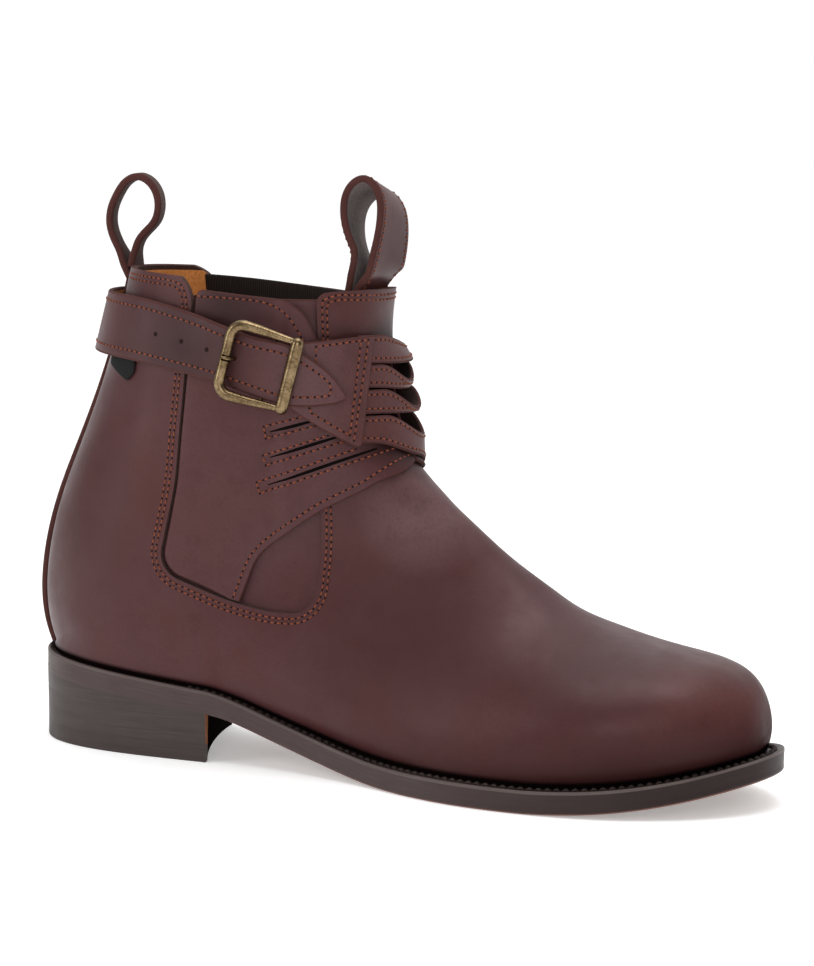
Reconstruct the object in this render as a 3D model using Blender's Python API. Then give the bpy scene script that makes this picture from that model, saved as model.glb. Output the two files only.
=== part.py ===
"""Right ankle boot with a buckled strap, folded front bands and a welted leather sole.

Sizes are in millimetres and are turned into metres when a mesh is made.  Lengths run along x from the
back of the sole to the toe, y is positive towards the inner side of the foot, and z is up from the floor.
"""
import math

import bpy
import bmesh
import numpy as np
from mathutils import Vector
from mathutils.bvhtree import BVHTree

# Driving sizes
MM = 0.001
GAP = 0.35
SOLE_LENGTH = 300.0
OUTSOLE_THICK = 5.2
WELT_THICK = 3.2
WELT_LEDGE_TOE = 6.2
WELT_LEDGE_HEEL = 2.6
WELT_UNDER = 9.0
WELT_WIDENS_FROM = 60.0
WELT_WIDENS_OVER = 100.0
WALL = 2.4
LEATHER = 1.5
INSOLE_THICK = 3.0
INSOLE_STATIONS = 64
TOE_LINING = 4.5
TOE_LINING_FROM = 262.0
TOE_LINING_OVER = 30.0
HEEL_BREAST = 84.0
HEEL_BREAST_HOLLOW = 2.8
HEEL_BREAST_SKEW = 22.0
HEEL_BREAST_LEAN = 0.6
HEEL_BACK_HEIGHT = 27.0
HEEL_FRONT_HEIGHT = 19.0
HEEL_TAPER = 0.6
HEEL_TOP_INSET = 0.3
HEEL_SIDE_STATIONS = 15
HEEL_BREAST_STATIONS = 9
TOP_LIFT_THICK = 7.0
STRAP_THICK = 2.2
LOOP_THICK = 2.8
FRONT_LOOP_WIDTH = 25.0
BACK_LOOP_WIDTH = 16.0
BACK_STRIP_WIDTH = 10.0
BACK_STRIP_THICK = 3.0
BACK_STRIP_ROWS = (0.35, 8.9)
BACK_STRIP_STATIONS = 22

# Plan of the sole: distance from the heel, then the reach to the outer and to the inner side
SOLE_PLAN_COLUMNS = ("x", "outer", "inner")
SOLE_PLAN = (
    (0.0, 0.0, 0.0),
    (12.0, 24.5, 24.0),
    (40.0, 34.0, 33.5),
    (80.0, 33.5, 31.0),
    (120.0, 33.0, 25.5),
    (150.0, 39.0, 29.0),
    (185.0, 49.5, 42.5),
    (215.0, 51.5, 49.5),
    (245.0, 46.5, 48.0),
    (272.0, 34.0, 40.0),
    (290.0, 18.0, 26.5),
    (300.0, -5.0, 5.0),
)

# Underside of the outsole in front of the heel: distance from the heel and height
TREAD_BACK = 172.0
TREAD_FRONT = 220.0
ARCH_COLUMNS = ("x", "z")
ARCH = (
    (HEEL_BREAST, HEEL_FRONT_HEIGHT),
    (92.0, 17.2),
    (106.0, 12.8),
    (134.0, 4.8),
    (158.0, 0.6),
    (TREAD_BACK, 0.0),
    (TREAD_FRONT, 0.0),
    (250.0, 2.1),
    (275.0, 6.4),
    (SOLE_LENGTH, 12.8),
)

# Sections of the upper, fanned from the collar round the heel to the toe.  Each lies in a plane across the
# boot through a point on the front line and a point on the back line or on the feather line.
SECTION_COLUMNS = ("top_x", "top_z", "base_x", "base_z", "outer", "inner", "belly", "square", "ridge")
SECTIONS = (
    (142.2, 182.0, 36.6, 187.2, 36.0, 36.0, 0.50, 2.25, 0.0),
    (141.0, 168.0, 32.4, 169.0, 36.5, 36.5, 0.50, 2.25, 0.0),
    (142.0, 154.0, 27.6, 152.0, 37.0, 37.0, 0.49, 2.20, 0.0),
    (144.0, 141.2, 21.2, 134.0, 37.5, 37.5, 0.48, 2.15, 0.0),
    (147.0, 129.4, 13.8, 116.0, 38.0, 38.0, 0.46, 2.10, 0.0),
    (151.2, 120.4, 6.7, 99.0, 38.0, 38.0, 0.44, 2.05, 0.0),
    (156.2, 114.6, 1.2, 82.0, 37.5, 37.5, 0.42, 2.0, 0.5),
    (161.2, 109.8, -1.7, 66.0, 37.0, 36.5, 0.39, 1.95, 1.0),
    (166.2, 105.2, -1.8, 51.0, 36.5, 36.0, 0.35, 1.9, 1.5),
    (171.2, 100.6, 2.6, 36.0, 36.0, 35.0, 0.30, 1.9, 2.0),
    (177.2, 95.6, 14.0, 0.0, 35.8, 34.5, 0.27, 1.9, 2.5),
    (184.0, 90.0, 35.0, 0.0, 35.5, 34.0, 0.25, 1.9, 3.0),
    (193.0, 83.2, 65.0, 0.0, 35.0, 33.0, 0.24, 1.9, 3.5),
    (205.0, 75.6, 105.0, 0.0, 36.0, 31.5, 0.24, 1.9, 4.0),
    (219.0, 67.8, 150.0, 0.0, 40.0, 33.5, 0.25, 1.95, 4.0),
    (236.0, 60.8, 195.0, 0.0, 46.5, 42.5, 0.26, 2.05, 3.5),
    (254.0, 56.0, 232.0, 0.0, 46.5, 46.0, 0.28, 2.15, 2.5),
    (271.2, 53.0, 259.0, 0.0, 38.5, 42.0, 0.31, 2.2, 2.0),
    (283.2, 48.9, 277.0, 0.0, 28.5, 33.5, 0.34, 2.2, 1.5),
    (290.0, 42.2, 286.5, 0.0, 18.5, 25.0, 0.36, 2.15, 1.0),
    (293.2, 33.6, 291.4, 0.0, 10.5, 17.5, 0.40, 2.1, 0.8),
    (294.0, 26.4, 293.2, 0.0, 4.0, 11.0, 0.42, 2.0, 0.5),
)
FIRST_OPEN_ROW = 9
LAST_LINED_ROW = 19.4
LOWER_WALL = 0.8


def smoothstep(share):
    share = np.clip(share, 0, 1)
    return share * share * (3 - 2 * share)


def natural_spline(knots, values):
    """A smooth curve through the points of a table, as a function."""
    knots = np.asarray(knots, float)
    values = np.asarray(values, float)
    count = len(knots)
    step = np.diff(knots)
    matrix = np.eye(count)
    right = np.zeros(count)
    for i in range(1, count - 1):
        matrix[i, i - 1: i + 2] = step[i - 1], 2 * (step[i - 1] + step[i]), step[i]
        right[i] = 6 * ((values[i + 1] - values[i]) / step[i] - (values[i] - values[i - 1]) / step[i - 1])
    bend = np.linalg.solve(matrix, right)

    def at(where):
        where = np.asarray(where, float)
        i = np.clip(np.searchsorted(knots, where) - 1, 0, count - 2)
        low, high = knots[i + 1] - where, where - knots[i]
        return (
            (bend[i] * low**3 + bend[i + 1] * high**3) / (6 * step[i])
            + (values[i] / step[i] - bend[i] * step[i] / 6) * low
            + (values[i + 1] / step[i] - bend[i + 1] * step[i] / 6) * high
        )

    return at


def column(table, names, name):
    return np.array([row[names.index(name)] for row in table])


# Plan and side curves of the sole
def plan_angle(x):
    return np.arccos(np.clip(1 - 2 * np.asarray(x, float) / SOLE_LENGTH, -1, 1))


PLAN_KNOTS = plan_angle(column(SOLE_PLAN, SOLE_PLAN_COLUMNS, "x"))
OUTER_REACH = natural_spline(PLAN_KNOTS, column(SOLE_PLAN, SOLE_PLAN_COLUMNS, "outer"))
INNER_REACH = natural_spline(PLAN_KNOTS, column(SOLE_PLAN, SOLE_PLAN_COLUMNS, "inner"))
ARCH_CURVE = natural_spline(column(ARCH, ARCH_COLUMNS, "x"), column(ARCH, ARCH_COLUMNS, "z"))


def underside(x):
    """Height of the outsole's lower face: a straight seat over the heel, the arch, a flat tread, toe spring."""
    x = np.asarray(x, float)
    seat = HEEL_BACK_HEIGHT + (HEEL_FRONT_HEIGHT - HEEL_BACK_HEIGHT) * x / HEEL_BREAST
    tread = (x > TREAD_BACK) & (x < TREAD_FRONT)
    curve = np.where(tread, 0.0, np.maximum(ARCH_CURVE(np.maximum(x, HEEL_BREAST)), 0.0))
    return np.where(x < HEEL_BREAST, seat, curve)


def feather_height(x):
    """Height of the line where the upper meets the welt."""
    return underside(x) + OUTSOLE_THICK + WELT_THICK + 3 * GAP


def sole_loop(count):
    """The plan of the sole as one closed loop, along the inner side to the toe and back along the outer side."""
    angles = np.linspace(0, math.pi, count // 2 + 1)
    x = SOLE_LENGTH * (1 - np.cos(angles)) / 2
    inner = np.stack([x, INNER_REACH(angles)], 1)
    outer = np.stack([x, -OUTER_REACH(angles)], 1)
    return np.concatenate([outer, inner[-2:0:-1]])


def inset_loop(loop, inset):
    """The loop moved inwards by a distance, which may differ from point to point."""
    along = np.roll(loop, -1, 0) - np.roll(loop, 1, 0)
    along /= np.linalg.norm(along, axis=1)[:, None]
    inwards = np.stack([-along[:, 1], along[:, 0]], 1)
    return loop + inwards * np.broadcast_to(inset, len(loop))[:, None]


def welt_ledge(x):
    """How far the welt reaches out past the upper."""
    share = smoothstep((np.asarray(x, float) - WELT_WIDENS_FROM) / WELT_WIDENS_OVER)
    return WELT_LEDGE_HEEL + (WELT_LEDGE_TOE - WELT_LEDGE_HEEL) * share


FINE_LOOP = sole_loop(720)
FEATHER_LOOP = inset_loop(FINE_LOOP, welt_ledge(FINE_LOOP[:, 0]))


def reaches(loop, x):
    """Reach of a loop to the outer and the inner side at x."""
    back, toe = int(np.argmin(loop[:, 0])), int(np.argmax(loop[:, 0]))
    rolled = np.roll(loop, -back, 0)
    turn = (toe - back) % len(loop)
    outer, inner = rolled[: turn + 1], np.concatenate([rolled[turn:], rolled[:1]])[::-1]
    return -np.interp(x, outer[:, 0], outer[:, 1]), np.interp(x, inner[:, 0], inner[:, 1])


# Surface of the upper
ROW_NUMBERS = np.arange(len(SECTIONS))
SECTION_CURVES = {
    name: natural_spline(ROW_NUMBERS, column(SECTIONS, SECTION_COLUMNS, name)) for name in SECTION_COLUMNS
}
BACK_HEIGHT = natural_spline(
    ROW_NUMBERS[: FIRST_OPEN_ROW + 1],
    np.append(
        column(SECTIONS, SECTION_COLUMNS, "base_z")[:FIRST_OPEN_ROW],
        feather_height(SECTIONS[FIRST_OPEN_ROW][SECTION_COLUMNS.index("base_x")]),
    ),
)


def section(row, turns):
    """Points of one section.  turns runs from -1 at the outer base through 0 at the top to 1 at the inner base.

    Above the belly the section is half a squared-off ellipse.  Below it is another, cut off where it meets
    the feather line, or whole where the section closes at the back of the heel.
    """
    at = {name: float(curve(row)) for name, curve in SECTION_CURVES.items()}
    open_base = row > FIRST_OPEN_ROW
    base_z = float(feather_height(at["base_x"])) if open_base else float(BACK_HEIGHT(row))
    foot = reaches(FEATHER_LOOP, at["base_x"]) if open_base else (0.0, 0.0)
    top = np.array([at["top_x"], at["top_z"]])
    base = np.array([at["base_x"], base_z])
    height = np.linalg.norm(top - base)
    belly = at["belly"] * height
    power = 2 / at["square"]
    points = []
    for turn in turns:
        side, reach = (at["outer"], foot[0]) if turn < 0 else (at["inner"], foot[1])
        if abs(turn) <= 0.5:
            angle = math.pi * abs(turn)
            up = belly + (height - belly) * abs(math.cos(angle)) ** power
        else:
            end = math.asin(np.clip(reach / side, 0, 1) ** (1 / power))
            angle = math.pi / 2 - (math.pi / 2 - end) * (2 * abs(turn) - 1)
            up = belly * (1 - (math.cos(angle) / math.cos(end)) ** power)
        out = side * math.sin(angle) ** power
        share = up / height
        x, z = base + (top - base) * share
        points.append((x, math.copysign(out, turn) + at["ridge"] * share * share, z))
    return np.array(points)


COARSE_ROWS = np.concatenate([
    np.linspace(0, 9, 16),
    np.linspace(9, 11, 6)[1:],
    np.linspace(11, 17, 12)[1:],
    np.linspace(17, 21, 9)[1:],
])
COARSE_TURNS = np.linspace(-1, 1, 25)


def upper_grid(rows=COARSE_ROWS, turns=COARSE_TURNS):
    """Points and outward normals of the upper's outer surface.  The lower wall of an open row never faces up."""
    points = np.array([section(row, turns) for row in rows])
    down = np.gradient(points, axis=0)
    across = np.gradient(points, axis=1)
    closed = rows <= FIRST_OPEN_ROW
    seam = (points[closed, 1] - points[closed, -2]) / 2
    across[closed, 0] = seam
    across[closed, -1] = seam
    normals = np.cross(down, across)
    normals /= np.linalg.norm(normals, axis=2)[:, :, None]
    faces_up = (rows > FIRST_OPEN_ROW)[:, None] & (np.abs(turns) > LOWER_WALL) & (normals[:, :, 2] > 0)
    normals[faces_up, 2] = 0
    normals /= np.linalg.norm(normals, axis=2)[:, :, None]
    return points, normals


GRID_POINTS, GRID_NORMALS = upper_grid()


SHAFT_AXIS_X = 88.0
WRAP_ROWS = np.linspace(0, 12, 49)
WRAP_TURNS = np.linspace(-1, 1, 97)


def wrap_tree():
    """A search tree of the shaft's surface."""
    points = np.array([section(row, WRAP_TURNS) for row in WRAP_ROWS])
    rows, turns = points.shape[:2]
    quads = [
        (i * turns + j, i * turns + j + 1, (i + 1) * turns + j + 1, (i + 1) * turns + j)
        for i in range(rows - 1)
        for j in range(turns - 1)
    ]
    return BVHTree.FromPolygons([Vector(p) for p in points.reshape(-1, 3)], quads)


WRAP_TREE = wrap_tree()


def on_shaft(angle, z):
    """Point of the shaft at a height, at an angle round its axis in degrees, 0 in front and -90 outside."""
    turn = math.radians(angle)
    hit = WRAP_TREE.ray_cast(Vector((SHAFT_AXIS_X, 0, z)), Vector((math.cos(turn), math.sin(turn), 0)))[0]
    return np.array(hit)


def off_shaft(angle, z, lift):
    """As on_shaft, but moved level outwards by a distance."""
    along = on_shaft(angle + 3, z) - on_shaft(angle - 3, z)
    outwards = np.array([along[1], -along[0], 0])
    return on_shaft(angle, z) + outwards / np.linalg.norm(outwards) * lift


# Mesh helpers
BACK_MOST = GRID_POINTS[:, :, 0].min() - GAP - BACK_STRIP_THICK
ORIGIN = np.array([
    (SOLE_LENGTH + BACK_MOST) / 2,
    (FINE_LOOP[:, 1].max() + FINE_LOOP[:, 1].min()) / 2,
    0.0,
])


def placed(points):
    """Points in metres with the origin under the middle of the boot."""
    return (np.asarray(points, float) - ORIGIN) * MM


def make_object(name, mesh, material=None):
    bmesh.ops.remove_doubles(mesh, verts=mesh.verts, dist=0.02 * MM)
    bmesh.ops.dissolve_degenerate(mesh, edges=mesh.edges, dist=0.01 * MM)
    bmesh.ops.recalc_face_normals(mesh, faces=mesh.faces)
    data = bpy.data.meshes.new(name)
    mesh.to_mesh(data)
    mesh.free()
    data.shade_smooth()
    data.set_sharp_from_angle(angle=math.radians(35))
    thing = bpy.data.objects.new(name, data)
    bpy.context.scene.collection.objects.link(thing)
    if material:
        data.materials.append(material)
    else:
        thing.hide_render = True
        thing.display_type = "WIRE"
    return thing


def add_grid(mesh, grid, wrap=False):
    """Quads over a grid of vertices; wrap joins the last column to the first."""
    for a, b in zip(grid[:-1], grid[1:]):
        pairs = list(zip(range(len(a) - 1), range(1, len(a))))
        if wrap:
            pairs.append((len(a) - 1, 0))
        for i, j in pairs:
            mesh.faces.new((a[i], a[j], b[j], b[i]))


def add_points(mesh, rings):
    return [[mesh.verts.new(p) for p in placed(ring)] for ring in rings]


def loft(name, rings, material=None):
    """A closed solid through closed rings of equal length, with flat ends."""
    mesh = bmesh.new()
    grid = add_points(mesh, rings)
    add_grid(mesh, grid, wrap=True)
    mesh.faces.new(grid[0])
    mesh.faces.new(grid[-1])
    return make_object(name, mesh, material)


def hoop(name, rings, material):
    """A closed solid through rings that run round and meet again."""
    mesh = bmesh.new()
    grid = add_points(mesh, rings)
    add_grid(mesh, grid + grid[:1], wrap=True)
    return make_object(name, mesh, material)


def slab(name, rings, material):
    """A closed solid through plan loops, bottom to top, with strips across its lower and upper face."""
    mesh = bmesh.new()
    grid = add_points(mesh, rings)
    add_grid(mesh, grid, wrap=True)
    half = len(rings[0]) // 2
    for ring in (grid[0], grid[-1]):
        for i in range(half):
            corners = (ring[i], ring[i + 1], ring[-i - 1], ring[-i])
            mesh.faces.new(dict.fromkeys(corners))
    return make_object(name, mesh, material)


def prism(name, outline, axis, low, high):
    """A cutter: an outline in the two other axes, drawn out along one axis."""
    rings = [np.insert(np.asarray(outline, float), axis, level, axis=1) for level in (low, high)]
    return loft(name, rings)


def cut(thing, cutter, operation="DIFFERENCE"):
    modifier = thing.modifiers.new(operation.title(), "BOOLEAN")
    modifier.operation = operation
    modifier.object = cutter
    return thing


def filleted(corners, steps=6):
    """A closed outline from corners given as x, z and a radius."""
    corners = [np.array(corner, float) for corner in corners]
    outline = []
    for before, corner, after in zip(corners[-1:] + corners[:-1], corners, corners[1:] + corners[:1]):
        place, radius = corner[:2], corner[2]
        if radius == 0:
            outline.append(place)
            continue
        back, ahead = before[:2] - place, after[:2] - place
        back, ahead = back / np.linalg.norm(back), ahead / np.linalg.norm(ahead)
        half = math.acos(np.clip(back @ ahead, -1, 1)) / 2
        middle = (back + ahead) / np.linalg.norm(back + ahead)
        centre = place + middle * radius / math.sin(half)
        start, end = (place + way * radius / math.tan(half) - centre for way in (back, ahead))
        for share in np.linspace(0, 1, steps + 1):
            way = start * (1 - share) + end * share
            outline.append(centre + way / np.linalg.norm(way) * radius)
    return np.array(outline)


def form(name, lift, last_row=15.0):
    """The upper's outer form as a closed cutter, moved out by a distance or by a function of the points."""
    used = COARSE_ROWS <= last_row
    points, normals = GRID_POINTS[used], GRID_NORMALS[used]
    reach = lift(points) if callable(lift) else np.full(points.shape[:2], lift)
    moved = points + normals * reach[:, :, None]
    mesh = bmesh.new()
    grid = add_points(mesh, moved)
    add_grid(mesh, grid)
    for a, b in zip(grid[:-1], grid[1:]):
        mesh.faces.new((a[-1], a[0], b[0], b[-1]))
    mesh.faces.new(grid[0])
    mesh.faces.new(grid[-1])
    return make_object(name, mesh)


def overlay(name, low, high, cutter, material):
    """A sheet that lies between two forms of the upper, cut to an outline."""
    sheet = form(name, high)
    sheet.hide_render = False
    sheet.display_type = "TEXTURED"
    sheet.data.materials.append(material)
    cut(sheet, cutter, "INTERSECT")
    return cut(sheet, form(name + "_inside", low))


def ribbon(name, spine, across, thick, material=None):
    """A flat band along a spine.  across gives the half width at each point, thick the half thickness."""
    spine, across = np.asarray(spine, float), np.asarray(across, float)
    along = np.gradient(spine, axis=0)
    outwards = np.cross(along, across)
    outwards *= thick / np.linalg.norm(outwards, axis=1)[:, None]
    rings = np.stack([
        spine - across - outwards,
        spine + across - outwards,
        spine + across + outwards,
        spine - across + outwards,
    ], axis=1)
    return loft(name, rings, material)


def tube(name, path, radii, material=None, sides=10):
    """A round bar along a path with a radius for each point."""
    path = np.asarray(path, float)
    along = np.gradient(path, axis=0)
    along /= np.linalg.norm(along, axis=1)[:, None]
    side = np.cross(along[0], along.mean(0) + (0.3, 0.5, 0.7))
    rings = []
    for place, way, radius in zip(path, along, np.broadcast_to(radii, len(path))):
        side = side - way * (side @ way)
        side /= np.linalg.norm(side)
        third = np.cross(way, side)
        rings.append([
            place + radius * (side * math.cos(turn) + third * math.sin(turn))
            for turn in np.linspace(0, 2 * math.pi, sides, endpoint=False)
        ])
    return loft(name, rings, material)


def curve_through(points, count):
    """Evenly spread points on a smooth curve through some places."""
    points = np.asarray(points, float)
    run = np.append(0, np.cumsum(np.linalg.norm(np.diff(points, axis=0), axis=1)))
    where = np.linspace(0, run[-1], count)
    return np.stack([natural_spline(run, points[:, i])(where) for i in range(points.shape[1])], 1)


def material(name, colour, roughness, metallic=0.0):
    made = bpy.data.materials.new(name)
    made.use_nodes = True
    shader = made.node_tree.nodes["Principled BSDF"]
    shader.inputs["Base Color"].default_value = (*colour, 1)
    shader.inputs["Roughness"].default_value = roughness
    shader.inputs["Metallic"].default_value = metallic
    return made


# Sole
def sole_rings(count, levels):
    """Plan loops of the sole, each moved in by an inset and lifted above the outsole's lower face."""
    loop = sole_loop(count)
    rings = []
    for inset, lift in levels:
        plan = inset_loop(loop, inset)
        rings.append(np.column_stack([plan, underside(plan[:, 0]) + lift]))
    return rings


# Edge of the outsole and of the welt: how far in, and the share of the thickness
SOLE_STATIONS = 72
EDGE_COLUMNS = ("inset", "share")
OUTSOLE_EDGE = (
    (1.2, 0.0),
    (0.0, 0.2),
    (0.5, 0.5),
    (0.0, 0.85),
    (0.5, 1.0),
)
WELT_EDGE = (
    (0.7, 0.0),
    (0.4, 0.5),
    (1.0, 1.0),
)


def edge_levels(table, low, thick):
    """Insets and heights of an edge."""
    heights = low + thick * column(table, EDGE_COLUMNS, "share")
    return list(zip(column(table, EDGE_COLUMNS, "inset"), heights))


def build_outsole(finish):
    levels = edge_levels(OUTSOLE_EDGE, 0.0, OUTSOLE_THICK)
    return slab("outsole", sole_rings(SOLE_STATIONS, levels), finish)


def build_welt(finish):
    low = OUTSOLE_THICK + GAP
    inside = welt_ledge(sole_loop(SOLE_STATIONS)[:, 0]) + WELT_UNDER
    levels = edge_levels(WELT_EDGE, low, WELT_THICK)
    levels += [(inside, low + WELT_THICK), (inside, low)]
    return hoop("welt", np.stack(sole_rings(SOLE_STATIONS, levels), axis=1), finish)


def heel_side(reach, front):
    """One side of the heel's plan, from the back to the breast."""
    angles = np.linspace(0, plan_angle(front), HEEL_SIDE_STATIONS)
    return np.stack([SOLE_LENGTH * (1 - np.cos(angles)) / 2, reach(angles)], 1)


def heel_plan(inset, lean=0.0):
    """Plan of the heel: the sole's back with a hollow breast, further forward on the outer side."""
    outer = heel_side(OUTER_REACH, HEEL_BREAST + lean) * (1, -1)
    inner = heel_side(INNER_REACH, HEEL_BREAST - HEEL_BREAST_SKEW + lean)
    share = np.linspace(0, 1, HEEL_BREAST_STATIONS)[:, None]
    breast = outer[-1] * (1 - share) + inner[-1] * share
    breast[:, 0] -= HEEL_BREAST_HOLLOW * 4 * (share * (1 - share))[:, 0]
    return inset_loop(np.concatenate([outer, breast[1:-1], inner[:0:-1]]), inset)


def build_heel_stack(finish):
    low, high = heel_plan(HEEL_TAPER, HEEL_BREAST_LEAN), heel_plan(HEEL_TOP_INSET)
    rings = [
        np.column_stack([low, np.full(len(low), TOP_LIFT_THICK + GAP)]),
        np.column_stack([high, underside(high[:, 0]) - GAP]),
    ]
    return loft("heel_stack", rings, finish)


# Edge of the top lift: how far in, and the height
TOP_LIFT_EDGE_COLUMNS = ("inset", "z")
TOP_LIFT_EDGE = (
    (HEEL_TAPER + 0.2, 0.0),
    (HEEL_TAPER - 0.6, 0.8),
    (HEEL_TAPER - 0.4, TOP_LIFT_THICK),
)


def build_heel_top_lift(finish):
    rings = []
    insets, heights = (column(TOP_LIFT_EDGE, TOP_LIFT_EDGE_COLUMNS, name) for name in TOP_LIFT_EDGE_COLUMNS)
    for inset, z in zip(insets, heights):
        plan = heel_plan(inset, HEEL_BREAST_LEAN)
        rings.append(np.column_stack([plan, np.full(len(plan), z)]))
    return loft("heel_top_lift", rings, finish)


def build_insole(finish):
    loop = sole_loop(INSOLE_STATIONS)
    lining = TOE_LINING * smoothstep((loop[:, 0] - TOE_LINING_FROM) / TOE_LINING_OVER)
    inset = welt_ledge(loop[:, 0]) + WALL + 3 * GAP + lining
    plan = inset_loop(loop, inset)
    low = feather_height(plan[:, 0])
    rings = [np.column_stack([plan, low]), np.column_stack([plan, low + INSOLE_THICK])]
    return slab("insole", rings, finish)


# Upper and what lies on it
CUT_OUT_LOW = 60.6
CUT_OUT_BACK = 65.6
CUT_OUT_FRONT = 128.2
CUT_OUT_COLUMNS = ("outer_x", "inner_x", "z", "radius")
CUT_OUT = (
    (56.0, 36.0, 189.5, 0),
    (78.4, 53.0, 185.4, 13),
    (75.3, 64.0, 147.0, 60),
    (72.6, 66.0, 108.0, 90),
    (CUT_OUT_BACK - 1.6, CUT_OUT_BACK - 1.6, 73.4, 10),
    (93.0, 93.0, 63.4, 120),
    (110.0, 110.0, CUT_OUT_LOW + 0.1, 40),
    (CUT_OUT_FRONT, CUT_OUT_FRONT, CUT_OUT_LOW, 10),
    (CUT_OUT_FRONT, CUT_OUT_FRONT, 97.0, 200),
    (125.4, 125.4, 181.0, 4),
    (150.0, 150.0, 183.0, 0),
    (150.0, 150.0, 200.0, 0),
    (56.0, 36.0, 200.0, 0),
)
FLAP_RAMP = (109.0, 118.0)
FLAP_DEEP = -2.0
FLAP_PROUD = 0.4
FLAP_MARGIN = 0.6
SIDES = {"outer": (-80.0, -2.0), "inner": (2.0, 80.0)}


def build_upper(finish):
    mesh = bmesh.new()
    outer = add_points(mesh, GRID_POINTS)
    lined = np.minimum(np.arange(len(COARSE_ROWS)), np.searchsorted(COARSE_ROWS, LAST_LINED_ROW))
    inner = add_points(mesh, (GRID_POINTS - GRID_NORMALS * WALL)[lined])
    for grid in (outer, inner):
        add_grid(mesh, grid)
        mesh.faces.new(grid[-1])
    add_grid(mesh, [outer[0], inner[0]])
    open_rows = [i for i, row in enumerate(COARSE_ROWS) if row >= FIRST_OPEN_ROW - 0.01]
    for end in (0, -1):
        add_grid(mesh, [[outer[i][end] for i in open_rows], [inner[i][end] for i in open_rows]])
    mesh.faces.new((outer[-1][0], outer[-1][-1], inner[-1][-1], inner[-1][0]))
    upper = make_object("upper", mesh, finish)
    for side, (low, high) in SIDES.items():
        x, z, radius = (column(CUT_OUT, CUT_OUT_COLUMNS, name) for name in (side + "_x", "z", "radius"))
        cut(upper, prism("cut_out_" + side, filleted(np.column_stack([x, z, radius])), 1, low, high))
    return upper


# Pieces behind the cut-outs: back edge at the top and halfway down, and the heights of the top's two ends
GUSSETS = {
    "gusset_outer": {"side": "outer", "back": 68.0, "middle": 64.0, "top_back": 178.4, "top_front": 178.4},
    "gore_inner": {"side": "inner", "back": 47.0, "middle": 58.0, "top_back": 183.4, "top_front": 177.0},
}
GUSSET_MARGIN = 8.0
GUSSET_MIDDLE_Z = 110.0
GUSSET_CORNER = 16.0


def build_gusset(name, finish):
    """The piece behind a cut-out, reaching under the wall all round."""
    at = GUSSETS[name]
    outline = (
        (at["back"], at["top_back"], 0),
        (at["middle"], GUSSET_MIDDLE_Z, 0),
        (CUT_OUT_BACK - GUSSET_MARGIN - 1.0, CUT_OUT_LOW + GUSSET_MARGIN, GUSSET_CORNER),
        (92.0, CUT_OUT_LOW - 0.6 * GUSSET_MARGIN, 0),
        (CUT_OUT_FRONT + GUSSET_MARGIN, CUT_OUT_LOW - GUSSET_MARGIN, GUSSET_CORNER),
        (CUT_OUT_FRONT + GUSSET_MARGIN, 97.0, 0),
        (CUT_OUT_FRONT + 0.4 * GUSSET_MARGIN, at["top_front"], 0),
    )
    cutter = prism(name + "_outline", filleted(outline), 1, *SIDES[at["side"]])
    return overlay(name, -WALL - GAP - LEATHER, -WALL - GAP, cutter, finish)


def flap_lift(points):
    """Height of a flap's lower face: deep in the cut-out, then over the upper in front of it."""
    low, high = FLAP_RAMP
    return FLAP_DEEP + (FLAP_PROUD - FLAP_DEEP) * smoothstep((points[:, :, 0] - low) / (high - low))


# Outline of a flap: x, z and the radius of each corner
FLAP_OUTLINE = (
    (79.2, 181.0, 3),
    (75.4 + FLAP_MARGIN, 147.0, 60),
    (72.7 + FLAP_MARGIN, 108.0, 90),
    (CUT_OUT_BACK - 0.5 + FLAP_MARGIN, 74.4, 9),
    (93.2, 63.6 + FLAP_MARGIN, 0),
    (97.6, 62.8 + FLAP_MARGIN, 0),
    (104.0, 81.2, 20),
    (116.0, 91.0, 60),
    (128.2, 100.0, 60),
    (144.0, 108.6, 40),
    (154.5, 117.0, 0),
    (150.0, 126.0, 0),
    (146.0, 157.0, 0),
    (126.6, 161.5, 0),
    (119.8, 178.0, 14),
)


def build_flap(name, side, finish):
    cutter = prism(name + "_outline", filleted(FLAP_OUTLINE), 1, *SIDES[side])
    return overlay(name, flap_lift, lambda points: flap_lift(points) + LEATHER, cutter, finish)


def build_back_strip(finish):
    rows = np.linspace(BACK_STRIP_ROWS[0], BACK_STRIP_ROWS[1], BACK_STRIP_STATIONS)
    line = np.array([section(row, (1.0,))[0] for row in rows])
    down = np.gradient(line, axis=0)
    outwards = np.cross((0.0, 1.0, 0.0), down)
    outwards /= np.linalg.norm(outwards, axis=1)[:, None]
    spine = line + outwards * (GAP + BACK_STRIP_THICK / 2)
    across = np.tile((0.0, BACK_STRIP_WIDTH / 2, 0.0), (len(rows), 1))
    return ribbon("back_strip", spine, across, BACK_STRIP_THICK / 2, finish)


# Outline of the patch: x, z and the radius of each corner
PATCH_LIFT = 4.6
PATCH_OUTLINE = (
    (117.6, 139.6, 0),
    (120.5, 162.6, 0),
    (142.8, 165.8, 0),
    (142.4, 124.4, 0.8),
    (140.6, 124.4, 0.8),
)


def build_patch(finish):
    cutter = prism("buckle_patch_outline", filleted(PATCH_OUTLINE), 1, *SIDES["outer"])
    return overlay("buckle_patch", PATCH_LIFT, PATCH_LIFT + LEATHER, cutter, finish)


SIDE_TAB_THICK = 0.9
SIDE_TAB_OUTLINE = ((37.0, 160.0), (37.0, 149.8), (48.4, 144.4), (52.0, 148.0), (52.0, 160.0))


def build_side_tab(finish):
    cutter = prism("side_tab_outline", SIDE_TAB_OUTLINE, 1, *SIDES["outer"])
    return overlay("side_tab", GAP, GAP + SIDE_TAB_THICK, cutter, finish)


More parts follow.
